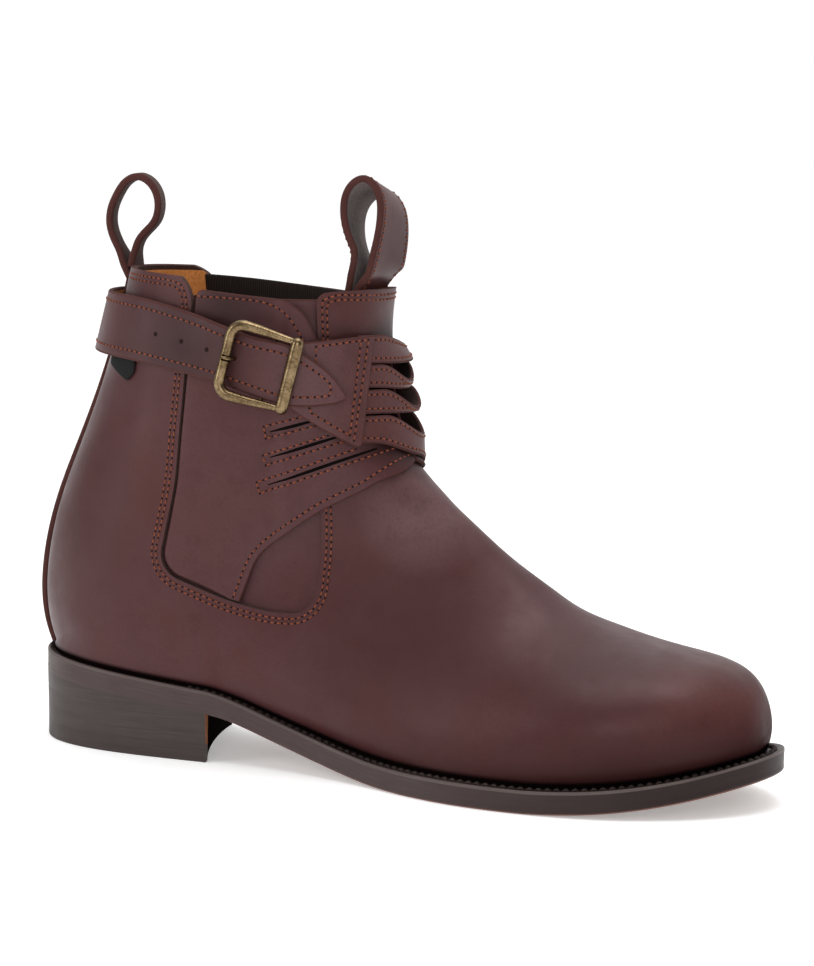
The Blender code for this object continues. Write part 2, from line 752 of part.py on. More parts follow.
# Bands round the front of the ankle: for each edge its height at the ends, how far it droops on the outer
# side of the front and on the inner side, and how far it stands off in front
BAND_COLUMNS = (
    "top", "bottom", "top_outer", "top_inner", "bottom_outer", "bottom_inner", "top_off", "bottom_off",
)
BANDS = (
    (165.4, 154.9, 3.0, 5.0, 0.7, 0.3, 0.5, 4.2),
    (154.4, 145.9, 6.6, 0.4, 1.5, 1.0, 4.0, 2.0),
    (145.1, 136.2, 7.6, 1.0, 0.7, 1.0, 6.0, 3.0),
    (135.5, 125.4, 8.0, 0.8, 6.0, 16.0, 4.8, 0.0),
)
BAND_LIFT = 2.3
BAND_FROM = -20.0
BAND_TO = 56.0
BAND_FREE = (-16.0, 54.0)
BAND_OUTER = {"top": (-10.0, 27.0), "bottom": (-16.0, 26.0)}
BAND_INNER = (2.0, 54.0)
BAND_STATIONS = 20


def bulge(angle, low, high):
    """1 half-way between two angles, falling softly to 0 at both."""
    share = min(max((angle - low) / (high - low), 0.0), 1.0)
    return math.sin(math.pi * share) ** 2


def band_edge(row, name, angle):
    """A point of a band's edge at an angle round the shaft."""
    values = dict(zip(BAND_COLUMNS, row))
    droop = values[name + "_outer"] * bulge(angle, *BAND_OUTER[name])
    droop += values[name + "_inner"] * bulge(angle, *BAND_INNER)
    off = values[name + "_off"] * bulge(angle, *BAND_FREE)
    return off_shaft(angle, values[name] - droop, BAND_LIFT + LEATHER / 2 + off)


def build_bands(finish):
    for number, row in enumerate(BANDS, 1):
        angles = np.linspace(BAND_FROM, BAND_TO, BAND_STATIONS)
        tops = np.array([band_edge(row, "top", angle) for angle in angles])
        bottoms = np.array([band_edge(row, "bottom", angle) for angle in angles])
        ribbon(f"front_band_{number}", (tops + bottoms) / 2, (tops - bottoms) / 2, LEATHER / 2, finish)


# Strap: angle round the shaft from the tip, its two edges and how far its inner face stands off
STRAP_COLUMNS = ("angle", "top", "bottom", "lift")
STRAP = (
    (26.2, 143.2, 142.2, 6.6),
    (28.7, 147.6, 140.9, 6.6),
    (31.7, 151.4, 140.2, 6.6),
    (36.7, 155.8, 139.6, 6.6),
    (42.4, 159.4, 139.4, 6.6),
    (48.0, 162.0, 139.6, 6.6),
    (60.0, 164.2, 142.2, 6.3),
    (72.0, 166.6, 144.8, 5.6),
    (85.0, 169.2, 147.1, 4.2),
    (98.0, 171.6, 148.7, 3.0),
    (110.0, 173.5, 150.0, 2.4),
    (122.0, 175.2, 151.3, 2.2),
    (136.0, 176.8, 152.8, 2.8),
    (158.0, 177.8, 154.2, 4.2),
    (180.0, 178.2, 155.0, 4.8),
    (202.0, 177.8, 154.6, 4.2),
    (225.0, 177.0, 153.8, 2.6),
    (250.0, 175.6, 152.4, 1.6),
    (275.0, 173.8, 150.6, 1.6),
    (298.0, 171.8, 148.6, 2.4),
)
STRAP_STATIONS = 33
STRAP_CURVES = {
    name: natural_spline(column(STRAP, STRAP_COLUMNS, "angle"), column(STRAP, STRAP_COLUMNS, name))
    for name in STRAP_COLUMNS[1:]
}
PRONG_HOLE = (0.8, 6.0)
PRONG_HOLE_WIDTH = 3.4
PRONG_HOLE_DEPTHS = (-9.0, 1.0)


def strap_edge(angle, name):
    lift = float(STRAP_CURVES["lift"](angle)) + STRAP_THICK / 2
    return off_shaft(-angle, float(STRAP_CURVES[name](angle)), lift)


def build_strap(finish):
    start, end = STRAP[0][0], STRAP[-1][0]
    angles = start + (end - start) * np.linspace(0, 1, STRAP_STATIONS) ** 1.25
    tops = np.array([strap_edge(angle, "top") for angle in angles])
    bottoms = np.array([strap_edge(angle, "bottom") for angle in angles])
    strap = ribbon("strap", (tops + bottoms) / 2, (tops - bottoms) / 2, STRAP_THICK / 2, finish)
    half = PRONG_HOLE_WIDTH / 2
    low, high = PRONG_HOLE
    plan = ((low, -half), (high, -half), (high, half), (low, half))
    rings = [[in_buckle(u, v, w) for u, v in plan] for w in PRONG_HOLE_DEPTHS]
    return cut(strap, loft("prong_hole", rings))


# Buckle: a frame of its own, from the middle of its left bar to the middle of its keeper
BUCKLE_ANGLES = (76.8, 46.8)
BUCKLE_HEIGHTS = (157.0, 151.0)
BUCKLE_HALF = 13.4
BUCKLE_CORNER = 5.0
BAR_RADIUS = 2.1
ARM_END_RADIUS = 1.1
KEEPER_HALF = 14.6
KEEPER_RADIUS = 2.5
CENTRE_BAR_RADIUS = 0.95
CENTRE_BAR_AT = 15.5
CENTRE_BAR_DEPTH = 6.1
PRONG_RADIUS = 0.9
PRONG_PATH = ((14.0, -6.0), (8.0, -6.2), (5.2, -5.8), (3.5, -3.7), (2.4, -0.9), (1.1, 1.3), (-0.8, 2.2))


def buckle_axes():
    """Middle of the left bar, then the directions along the strap, across it and outwards, and the length."""
    ends = []
    for angle, z, radius in zip(BUCKLE_ANGLES, BUCKLE_HEIGHTS, (BAR_RADIUS, 0.8 * KEEPER_RADIUS)):
        lift = float(STRAP_CURVES["lift"](angle)) + STRAP_THICK + 3 * GAP + radius
        ends.append(off_shaft(-angle, z, lift))
    along = ends[1] - ends[0]
    length = np.linalg.norm(along)
    along /= length
    level = np.array([-along[1], along[0], 0.0])
    out = -level / np.linalg.norm(level)
    if out[1] > 0:
        out = -out
    across = np.cross(out, along)
    if across[2] < 0:
        across = -across
    return ends[0], along, across, out, length


BUCKLE_MIDDLE, BUCKLE_ALONG, BUCKLE_ACROSS, BUCKLE_OUT, BUCKLE_LENGTH = buckle_axes()


def in_buckle(u, v, w):
    return BUCKLE_MIDDLE + BUCKLE_ALONG * u + BUCKLE_ACROSS * v + BUCKLE_OUT * w


def build_buckle_frame(finish):
    corner, half = BUCKLE_CORNER, BUCKLE_HALF
    turns = np.radians(np.linspace(90, 180, 6))
    bend = [(corner + corner * math.cos(t), half - corner + corner * math.sin(t)) for t in turns]
    arm = [(BUCKLE_LENGTH, half - 0.6), (0.66 * BUCKLE_LENGTH, half - 0.2), (0.36 * BUCKLE_LENGTH, half)]
    upper_half = arm + bend
    path = upper_half + [(u, -v) for u, v in reversed(upper_half)]
    radii = np.interp([u for u, v in path], (corner, BUCKLE_LENGTH), (BAR_RADIUS, ARM_END_RADIUS))
    frame = tube("buckle_frame", [in_buckle(u, v, 0) for u, v in path], radii, finish)
    ends = np.array((-1.0, -0.97, -0.9, 0.9, 0.97, 1.0))
    sizes = KEEPER_RADIUS * np.array((0.45, 0.8, 1.0, 1.0, 0.8, 0.45))
    keeper = tube("keeper", [in_buckle(BUCKLE_LENGTH, KEEPER_HALF * end, 0) for end in ends], sizes)
    drop = [(half, 0.0), (half, -0.7 * CENTRE_BAR_DEPTH), (half - 0.9, -CENTRE_BAR_DEPTH)]
    bar_path = drop + [(-v, w) for v, w in reversed(drop)]
    bar = tube("centre_bar", [in_buckle(CENTRE_BAR_AT, v, w) for v, w in bar_path], CENTRE_BAR_RADIUS)
    notch = tube("notch", [in_buckle(u, 0, w) for u, w in PRONG_PATH], PRONG_RADIUS + GAP)
    cut(frame, keeper, "UNION")
    cut(frame, bar, "UNION")
    return cut(frame, notch)


def build_buckle_prong(finish):
    return tube("buckle_prong", [in_buckle(u, 0, w) for u, w in PRONG_PATH], PRONG_RADIUS, finish, sides=8)


# Pull loops: x and z of places on the middle line of each loop, from one leg over the top to the other leg
FRONT_LOOP = (
    (129.8, 171.0),
    (131.0, 182.0),
    (131.8, 190.0),
    (128.6, 199.0),
    (126.8, 208.0),
    (129.4, 217.0),
    (135.6, 220.4),
    (141.2, 216.6),
    (143.4, 208.0),
    (142.4, 197.5),
    (139.4, 188.5),
    (134.8, 182.0),
    (133.8, 171.0),
)
BACK_LOOP = (
    (33.9, 186.6),
    (33.9, 189.2),
    (34.3, 192.2),
    (35.8, 196.6),
    (39.2, 200.6),
    (42.6, 204.2),
    (44.3, 209.6),
    (43.4, 215.2),
    (40.0, 219.6),
    (35.2, 221.4),
    (30.0, 219.4),
    (26.2, 214.6),
    (23.6, 209.0),
    (23.0, 203.6),
    (24.4, 198.3),
    (27.7, 192.4),
    (30.1, 188.1),
    (31.6, 185.2),
    (33.0, 182.7),
)
FRONT_LOOP_TURNS = ((0.0, 0.0, 0.0), (-6.0, 14.0, 18.0))
BACK_LOOP_TURNS = ((14.0, 0.0, 0.0), (22.0, 0.0, 0.0))
LOOP_TURNS_FROM = 186.5
LOOP_TURNS_OVER = 8.0
LOOP_STATIONS = 28


def build_loop(name, places, width, turns, finish):
    """A loop of flat leather.

    turns gives its twist about the upright, its lean and the first leg's own twist, at the collar and above.
    """
    line = curve_through(places, LOOP_STATIONS)
    share = smoothstep((line[:, 1] - LOOP_TURNS_FROM) / LOOP_TURNS_OVER)
    twist, lean, opening = (np.radians(base + (end - base) * share) for base, end in zip(*turns))
    twist = twist + opening * smoothstep(np.linspace(1, 0, len(line)))
    flat = np.cos(lean)
    across = np.stack([-np.sin(twist) * flat, np.cos(twist) * flat, -np.sin(lean)], 1) * width / 2
    spine = np.column_stack([line[:, 0], np.zeros(len(line)), line[:, 1]])
    return ribbon(name, spine, across, LOOP_THICK / 2, finish)


def main():
    for thing in list(bpy.data.objects):
        bpy.data.objects.remove(thing)
    leather = material("oiled_leather", (0.105, 0.044, 0.042), 0.45)
    trim_leather = material("strap_leather", (0.11, 0.048, 0.045), 0.42)
    lining = material("insole_leather", (0.42, 0.16, 0.05), 0.8)
    edge = material("sole_edge", (0.045, 0.028, 0.024), 0.5)
    rubber = material("heel_rubber", (0.03, 0.022, 0.02), 0.7)
    elastic = material("elastic", (0.02, 0.013, 0.011), 0.85)
    brass = material("antique_brass", (0.34, 0.24, 0.12), 0.38, 1.0)
    cloth = material("black_cloth", (0.012, 0.012, 0.012), 0.8)
    build_outsole(edge)
    build_welt(edge)
    build_heel_stack(edge)
    build_heel_top_lift(rubber)
    build_insole(lining)
    build_upper(leather)
    build_back_strip(leather)
    build_gusset("gusset_outer", leather)
    build_gusset("gore_inner", elastic)
    build_flap("flap_outer", "outer", leather)
    build_flap("flap_inner", "inner", leather)
    build_bands(trim_leather)
    build_patch(trim_leather)
    build_strap(trim_leather)
    build_buckle_frame(brass)
    build_buckle_prong(brass)
    build_loop("pull_loop_front", FRONT_LOOP, FRONT_LOOP_WIDTH, FRONT_LOOP_TURNS, trim_leather)
    build_loop("pull_loop_back", BACK_LOOP, BACK_LOOP_WIDTH, BACK_LOOP_TURNS, trim_leather)
    build_side_tab(cloth)


if __name__ == "__main__":
    main()
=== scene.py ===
"""Looks of the right ankle boot: fine meshes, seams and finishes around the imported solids.

Sizes are in millimetres and are turned into metres when a mesh is made.  Lengths run along x from the
back of the sole to the toe, y is positive towards the inner side of the foot, and z is up from the floor.
"""
import math

import bmesh
import bpy
import numpy as np
from mathutils import Matrix, Vector
from mathutils.bvhtree import BVHTree
from mathutils.geometry import delaunay_2d_cdt


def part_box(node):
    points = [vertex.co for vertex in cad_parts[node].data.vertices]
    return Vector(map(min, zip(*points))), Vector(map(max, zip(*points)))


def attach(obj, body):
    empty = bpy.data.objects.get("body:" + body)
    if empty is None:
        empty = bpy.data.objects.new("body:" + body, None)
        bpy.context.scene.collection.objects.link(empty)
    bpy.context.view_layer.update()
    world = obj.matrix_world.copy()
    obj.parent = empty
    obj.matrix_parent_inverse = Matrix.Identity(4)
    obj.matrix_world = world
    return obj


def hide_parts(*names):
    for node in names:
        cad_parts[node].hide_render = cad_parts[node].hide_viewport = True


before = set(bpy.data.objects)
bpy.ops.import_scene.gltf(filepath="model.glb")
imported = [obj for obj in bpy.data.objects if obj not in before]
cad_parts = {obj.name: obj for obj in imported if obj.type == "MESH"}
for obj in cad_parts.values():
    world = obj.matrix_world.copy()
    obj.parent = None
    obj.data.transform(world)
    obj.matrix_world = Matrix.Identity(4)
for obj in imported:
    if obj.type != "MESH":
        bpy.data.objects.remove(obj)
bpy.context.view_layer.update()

# Driving sizes, the same as those of the solids
MM = 0.001
GAP = 0.35
SOLE_LENGTH = 300.0
OUTSOLE_THICK = 5.2
WELT_THICK = 3.2
WELT_LEDGE_TOE = 6.2
WELT_LEDGE_HEEL = 2.6
WELT_UNDER = 9.0
WELT_WIDENS_FROM = 60.0
WELT_WIDENS_OVER = 100.0
WALL = 2.4
LEATHER = 1.5
HEEL_BREAST = 84.0
HEEL_BREAST_HOLLOW = 2.8
HEEL_BREAST_SKEW = 22.0
HEEL_BREAST_LEAN = 0.6
HEEL_BACK_HEIGHT = 27.0
HEEL_FRONT_HEIGHT = 19.0
HEEL_TAPER = 0.6
TOP_LIFT_THICK = 7.0
STRAP_THICK = 2.2
LOOP_THICK = 2.8
FRONT_LOOP_WIDTH = 25.0
BACK_LOOP_WIDTH = 16.0
BACK_STRIP_WIDTH = 10.0
BACK_STRIP_THICK = 3.0

# Plan of the sole: distance from the heel, then the reach to the outer and to the inner side
SOLE_PLAN_COLUMNS = ("x", "outer", "inner")
SOLE_PLAN = (
    (0.0, 0.0, 0.0),
    (12.0, 24.5, 24.0),
    (40.0, 34.0, 33.5),
    (80.0, 33.5, 31.0),
    (120.0, 33.0, 25.5),
    (150.0, 39.0, 29.0),
    (185.0, 49.5, 42.5),
    (215.0, 51.5, 49.5),
    (245.0, 46.5, 48.0),
    (272.0, 34.0, 40.0),
    (290.0, 18.0, 26.5),
    (300.0, -5.0, 5.0),
)

# Underside of the outsole in front of the heel: distance from the heel and height
TREAD_BACK = 172.0
TREAD_FRONT = 220.0
ARCH_COLUMNS = ("x", "z")
ARCH = (
    (HEEL_BREAST, HEEL_FRONT_HEIGHT),
    (92.0, 17.2),
    (106.0, 12.8),
    (134.0, 4.8),
    (158.0, 0.6),
    (TREAD_BACK, 0.0),
    (TREAD_FRONT, 0.0),
    (250.0, 2.1),
    (275.0, 6.4),
    (SOLE_LENGTH, 12.8),
)

# Sections of the upper, fanned from the collar round the heel to the toe
SECTION_COLUMNS = ("top_x", "top_z", "base_x", "base_z", "outer", "inner", "belly", "square", "ridge")
SECTIONS = (
    (142.2, 182.0, 36.6, 187.2, 36.0, 36.0, 0.50, 2.25, 0.0),
    (141.0, 168.0, 32.4, 169.0, 36.5, 36.5, 0.50, 2.25, 0.0),
    (142.0, 154.0, 27.6, 152.0, 37.0, 37.0, 0.49, 2.20, 0.0),
    (144.0, 141.2, 21.2, 134.0, 37.5, 37.5, 0.48, 2.15, 0.0),
    (147.0, 129.4, 13.8, 116.0, 38.0, 38.0, 0.46, 2.10, 0.0),
    (151.2, 120.4, 6.7, 99.0, 38.0, 38.0, 0.44, 2.05, 0.0),
    (156.2, 114.6, 1.2, 82.0, 37.5, 37.5, 0.42, 2.0, 0.5),
    (161.2, 109.8, -1.7, 66.0, 37.0, 36.5, 0.39, 1.95, 1.0),
    (166.2, 105.2, -1.8, 51.0, 36.5, 36.0, 0.35, 1.9, 1.5),
    (171.2, 100.6, 2.6, 36.0, 36.0, 35.0, 0.30, 1.9, 2.0),
    (177.2, 95.6, 14.0, 0.0, 35.8, 34.5, 0.27, 1.9, 2.5),
    (184.0, 90.0, 35.0, 0.0, 35.5, 34.0, 0.25, 1.9, 3.0),
    (193.0, 83.2, 65.0, 0.0, 35.0, 33.0, 0.24, 1.9, 3.5),
    (205.0, 75.6, 105.0, 0.0, 36.0, 31.5, 0.24, 1.9, 4.0),
    (219.0, 67.8, 150.0, 0.0, 40.0, 33.5, 0.25, 1.95, 4.0),
    (236.0, 60.8, 195.0, 0.0, 46.5, 42.5, 0.26, 2.05, 3.5),
    (254.0, 56.0, 232.0, 0.0, 46.5, 46.0, 0.28, 2.15, 2.5),
    (271.2, 53.0, 259.0, 0.0, 38.5, 42.0, 0.31, 2.2, 2.0),
    (283.2, 48.9, 277.0, 0.0, 28.5, 33.5, 0.34, 2.2, 1.5),
    (290.0, 42.2, 286.5, 0.0, 18.5, 25.0, 0.36, 2.15, 1.0),
    (293.2, 33.6, 291.4, 0.0, 10.5, 17.5, 0.40, 2.1, 0.8),
    (294.0, 26.4, 293.2, 0.0, 4.0, 11.0, 0.42, 2.0, 0.5),
)
FIRST_OPEN_ROW = 9
LAST_LINED_ROW = 19.4
LOWER_WALL = 0.8


def smoothstep(share):
    share = np.clip(share, 0, 1)
    return share * share * (3 - 2 * share)


def natural_spline(knots, values):
    """A smooth curve through the points of a table, as a function."""
    knots = np.asarray(knots, float)
    values = np.asarray(values, float)
    count = len(knots)
    step = np.diff(knots)
    matrix = np.eye(count)
    right = np.zeros(count)
    for i in range(1, count - 1):
        matrix[i, i - 1: i + 2] = step[i - 1], 2 * (step[i - 1] + step[i]), step[i]
        right[i] = 6 * ((values[i + 1] - values[i]) / step[i] - (values[i] - values[i - 1]) / step[i - 1])
    bend = np.linalg.solve(matrix, right)

    def at(where):
        where = np.asarray(where, float)
        i = np.clip(np.searchsorted(knots, where) - 1, 0, count - 2)
        low, high = knots[i + 1] - where, where - knots[i]
        return (
            (bend[i] * low**3 + bend[i + 1] * high**3) / (6 * step[i])
            + (values[i] / step[i] - bend[i] * step[i] / 6) * low
            + (values[i + 1] / step[i] - bend[i + 1] * step[i] / 6) * high
        )

    return at


def column(table, names, name):
    return np.array([row[names.index(name)] for row in table])


def unit(vectors):
    return vectors / np.linalg.norm(vectors, axis=-1, keepdims=True)


# Plan and side curves of the sole
def plan_angle(x):
    return np.arccos(np.clip(1 - 2 * np.asarray(x, float) / SOLE_LENGTH, -1, 1))


PLAN_KNOTS = plan_angle(column(SOLE_PLAN, SOLE_PLAN_COLUMNS, "x"))
OUTER_REACH = natural_spline(PLAN_KNOTS, column(SOLE_PLAN, SOLE_PLAN_COLUMNS, "outer"))
INNER_REACH = natural_spline(PLAN_KNOTS, column(SOLE_PLAN, SOLE_PLAN_COLUMNS, "inner"))
ARCH_CURVE = natural_spline(column(ARCH, ARCH_COLUMNS, "x"), column(ARCH, ARCH_COLUMNS, "z"))


def underside(x):
    """Height of the outsole's lower face: a straight seat over the heel, arch, flat tread and toe spring."""
    x = np.asarray(x, float)
    seat = HEEL_BACK_HEIGHT + (HEEL_FRONT_HEIGHT - HEEL_BACK_HEIGHT) * x / HEEL_BREAST
    tread = (x > TREAD_BACK) & (x < TREAD_FRONT)
    curve = np.where(tread, 0.0, np.maximum(ARCH_CURVE(np.maximum(x, HEEL_BREAST)), 0.0))
    return np.where(x < HEEL_BREAST, seat, curve)


def feather_height(x):
    """Height of the line where the upper meets the welt."""
    return underside(x) + OUTSOLE_THICK + WELT_THICK + 3 * GAP


def sole_loop(count):
    """The plan of the sole as one closed loop, along the outer side to the toe and back along the inner."""
    angles = np.linspace(0, math.pi, count // 2 + 1)
    x = SOLE_LENGTH * (1 - np.cos(angles)) / 2
    inner = np.stack([x, INNER_REACH(angles)], 1)
    outer = np.stack([x, -OUTER_REACH(angles)], 1)
    return np.concatenate([outer, inner[-2:0:-1]])


def inset_loop(loop, inset):
    """The loop moved inwards by a distance, which may differ from point to point."""
    along = unit(np.roll(loop, -1, 0) - np.roll(loop, 1, 0))
    inwards = np.stack([-along[:, 1], along[:, 0]], 1)
    return loop + inwards * np.broadcast_to(inset, len(loop))[:, None]


def welt_ledge(x):
    """How far the welt reaches out past the upper."""
    share = smoothstep((np.asarray(x, float) - WELT_WIDENS_FROM) / WELT_WIDENS_OVER)
    return WELT_LEDGE_HEEL + (WELT_LEDGE_TOE - WELT_LEDGE_HEEL) * share


FINE_STATIONS = 720
FINE_LOOP = sole_loop(FINE_STATIONS)
FEATHER_LOOP = inset_loop(FINE_LOOP, welt_ledge(FINE_LOOP[:, 0]))
ORIGIN = np.array([
    -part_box("outsole")[0].x / MM,
    (FINE_LOOP[:, 1].max() + FINE_LOOP[:, 1].min()) / 2,
    0.0,
])


def placed(points):
    """Points in metres in the frame of the solids."""
    return (np.asarray(points, float) - ORIGIN) * MM


def reaches(loop, x):
    """Reach of a loop to the outer and the inner side at x."""
    back, toe = int(np.argmin(loop[:, 0])), int(np.argmax(loop[:, 0]))
    rolled = np.roll(loop, -back, 0)
    turn = (toe - back) % len(loop)
    outer, inner = rolled[: turn + 1], np.concatenate([rolled[turn:], rolled[:1]])[::-1]
    return -np.interp(x, outer[:, 0], outer[:, 1]), np.interp(x, inner[:, 0], inner[:, 1])


# Surface of the upper
ROW_NUMBERS = np.arange(len(SECTIONS))
SECTION_CURVES = {
    name: natural_spline(ROW_NUMBERS, column(SECTIONS, SECTION_COLUMNS, name)) for name in SECTION_COLUMNS
}
BACK_HEIGHT = natural_spline(
    ROW_NUMBERS[: FIRST_OPEN_ROW + 1],
    np.append(
        column(SECTIONS, SECTION_COLUMNS, "base_z")[:FIRST_OPEN_ROW],
        feather_height(SECTIONS[FIRST_OPEN_ROW][SECTION_COLUMNS.index("base_x")]),
    ),
)


def section(row, turns):
    """Points of one section; turns runs from -1, the outer base, by 0, the top, to 1, the inner base."""
    at = {name: float(curve(row)) for name, curve in SECTION_CURVES.items()}
    open_base = row > FIRST_OPEN_ROW
    base_z = float(feather_height(at["base_x"])) if open_base else float(BACK_HEIGHT(row))
    foot = reaches(FEATHER_LOOP, at["base_x"]) if open_base else (0.0, 0.0)
    top = np.array([at["top_x"], at["top_z"]])
    base = np.array([at["base_x"], base_z])
    height = np.linalg.norm(top - base)
    belly = at["belly"] * height
    power = 2 / at["square"]
    turns = np.asarray(turns, float)
    side = np.where(turns < 0, at["outer"], at["inner"])
    reach = np.where(turns < 0, foot[0], foot[1])
    end = np.arcsin(np.clip(reach / side, 0, 1) ** (1 / power))
    above = np.abs(turns) <= 0.5
    angle = np.where(
        above, np.pi * np.abs(turns), np.pi / 2 - (np.pi / 2 - end) * (2 * np.abs(turns) - 1)
    )
    level = np.clip(np.cos(angle), 0, 1)
    up = np.where(
        above,
        belly + (height - belly) * level**power,
        belly * (1 - (level / np.cos(end)) ** power),
    )
    out = side * np.sin(angle) ** power
    share = up / height
    x, z = base[:, None] + (top - base)[:, None] * share
    return np.stack([x, np.copysign(out, turns) + at["ridge"] * share * share, z], 1)


# Soft creases of the upper: both ends of a line near the surface, the width and the depth of the trough
CREASE_COLUMNS = ("from_place", "to_place", "width", "depth")
CREASES = (
    ((178.0, -40.0, 88.0), (205.0, -12.0, 84.0), 9.0, 0.5),
    ((196.0, -46.0, 62.0), (224.0, 8.0, 72.0), 11.0, 0.55),
    ((214.0, -50.0, 48.0), (238.0, 0.0, 66.0), 12.0, 0.45),
    ((152.0, -34.0, 92.0), (168.0, -10.0, 103.0), 7.0, 0.55),
    ((40.0, -38.0, 130.0), (34.0, -38.0, 84.0), 11.0, 0.5),
    ((58.0, -39.0, 138.0), (56.0, -38.0, 100.0), 9.0, -0.4),
    ((20.0, -34.0, 66.0), (62.0, -38.0, 54.0), 12.0, 0.3),
    ((40.0, 38.0, 126.0), (36.0, 38.0, 80.0), 11.0, 0.5),
    ((180.0, 34.0, 86.0), (206.0, 10.0, 84.0), 9.0, 0.45),
    ((198.0, 44.0, 60.0), (226.0, 6.0, 72.0), 11.0, 0.5),
)


def relief(points):
    """How far the creases move each point along its normal."""
    total = np.zeros(points.shape[:-1])
    for row in CREASES:
        at = dict(zip(CREASE_COLUMNS, row))
        start, end = np.array(at["from_place"]), np.array(at["to_place"])
        along = end - start
        share = np.clip((points - start) @ along / (along @ along), 0, 1)
        away = np.linalg.norm(points - start - share[..., None] * along, axis=-1)
        total -= at["depth"] * np.exp(-((away / at["width"]) ** 2))
    return total


def surface(rows, turns):
    """Points and outward normals of the upper's outer surface, with its creases."""
    points = np.array([section(row, turns) for row in rows])
    down = np.gradient(points, axis=0)
    across = np.gradient(points, axis=1)
    closed = rows <= FIRST_OPEN_ROW
    seam = (points[closed, 1] - points[closed, -2]) / 2
    across[closed, 0] = seam
    across[closed, -1] = seam
    normals = unit(np.cross(down, across))
    faces_up = (rows > FIRST_OPEN_ROW)[:, None] & (np.abs(turns) > LOWER_WALL) & (normals[:, :, 2] > 0)
    normals[faces_up, 2] = 0
    normals = unit(normals)
    return points + normals * relief(points)[:, :, None], normals


# The shaft as a table of radii round an upright axis
SHAFT_AXIS_X = 88.0
SHAFT_ANGLES = np.arange(-184.0, 185.0, 1.0)
SHAFT_HEIGHTS = np.arange(46.0, 192.0, 1.0)
SHAFT_ROWS = np.linspace(0, 21, 211)
SHAFT_TURNS = np.linspace(-1, 1, 241)


def shaft_table():
    points = surface(SHAFT_ROWS, SHAFT_TURNS)[0]
    rows, turns = points.shape[:2]
    quads = [
        (i * turns + j, i * turns + j + 1, (i + 1) * turns + j + 1, (i + 1) * turns + j)
        for i in range(rows - 1)
        for j in range(turns - 1)
    ]
    tree = BVHTree.FromPolygons([Vector(p) for p in points.reshape(-1, 3)], quads)
    table = np.zeros((len(SHAFT_ANGLES), len(SHAFT_HEIGHTS)))
    for i, angle in enumerate(np.radians(SHAFT_ANGLES)):
        way = Vector((math.cos(angle), math.sin(angle), 0))
        for j, z in enumerate(SHAFT_HEIGHTS):
            distance = tree.ray_cast(Vector((SHAFT_AXIS_X, 0, z)), way)[3]
            table[i, j] = distance if distance is not None else table[i, j - 1]
    return table


SHAFT_RADII = shaft_table()


def shaft_radius(angle, z):
    angle = (np.asarray(angle, float) + 180) % 360 - 180
    a = angle - SHAFT_ANGLES[0]
    b = np.clip(np.asarray(z, float) - SHAFT_HEIGHTS[0], 0, len(SHAFT_HEIGHTS) - 1.001)
    i, j = a.astype(int), b.astype(int)
    a, b = a - i, b - j
    return (
        SHAFT_RADII[i, j] * (1 - a) * (1 - b)
        + SHAFT_RADII[i + 1, j] * a * (1 - b)
        + SHAFT_RADII[i, j + 1] * (1 - a) * b
        + SHAFT_RADII[i + 1, j + 1] * a * b
    )


def on_shaft(angle, z):
    """Points of the shaft at heights, at angles round its axis in degrees, 0 in front and -90 outside."""
    angle, z = np.broadcast_arrays(np.asarray(angle, float), np.asarray(z, float))
    radius = shaft_radius(angle, z)
    turn = np.radians(angle)
    return np.stack([SHAFT_AXIS_X + radius * np.cos(turn), radius * np.sin(turn), z], -1)


# Steps over which the slope of the shaft is measured, in degrees and millimetres
SLOPE_TURN = 2.0
SLOPE_RISE = 1.5
LEVEL_TURN = 3.0


def shaft_normal(angle, z):
    around = on_shaft(angle + SLOPE_TURN, z) - on_shaft(angle - SLOPE_TURN, z)
    upwards = on_shaft(angle, z + SLOPE_RISE) - on_shaft(angle, z - SLOPE_RISE)
    return unit(np.cross(around, upwards))


def lifted(line, lift):
    """Points over a line of angles and heights, moved out along the normal."""
    line = np.asarray(line, float)
    angle, z = line[..., 0], line[..., 1]
    return on_shaft(angle, z) + shaft_normal(angle, z) * np.broadcast_to(lift, angle.shape)[..., None]


def off_shaft(angle, z, lift):
    """As on_shaft, but moved level outwards by a distance."""
    angle = np.asarray(angle, float)
    along = on_shaft(angle + LEVEL_TURN, z) - on_shaft(angle - LEVEL_TURN, z)
    outwards = unit(np.stack([along[..., 1], -along[..., 0], np.zeros(along.shape[:-1])], -1))
    return on_shaft(angle, z) + outwards * np.broadcast_to(lift, outwards.shape[:-1])[..., None]


WRAP_ANGLES = np.linspace(179, 0.5, 600)
WRAP_ROUNDS = 3


def wrapped(places, side, lift=0.0):
    """A line of x and z places seen from one side as angles and heights on the shaft."""
    angles = -WRAP_ANGLES if side == "outer" else WRAP_ANGLES
    numbers = np.arange(len(angles))
    line = []
    for x, z in places:
        height = z
        for _ in range(WRAP_ROUNDS):
            points = lifted(np.column_stack([angles, np.full(len(angles), height)]), lift)
            at = np.interp(x, points[:, 0], numbers)
            height += z - np.interp(at, numbers, points[:, 2])
        line.append((np.interp(at, numbers, angles), height))
    return np.array(line)


def unwrapped(points):
    """Angles and heights of points near the shaft."""
    return np.stack([np.degrees(np.arctan2(points[:, 1], points[:, 0] - SHAFT_AXIS_X)), points[:, 2]], 1)


def run_length(points):
    return np.append(0, np.cumsum(np.linalg.norm(np.diff(points, axis=0), axis=1)))


def along_run(points, run, where):
    """Places on a polyline at distances along it."""
    return np.stack([np.interp(where, run, values) for values in points.T], 1)


def resampled(points, spacing):
    """A polyline with points at an even spacing."""
    run = run_length(points)
    where = np.linspace(0, run[-1], max(2, int(round(run[-1] / spacing)) + 1))
    return along_run(points, run, where)


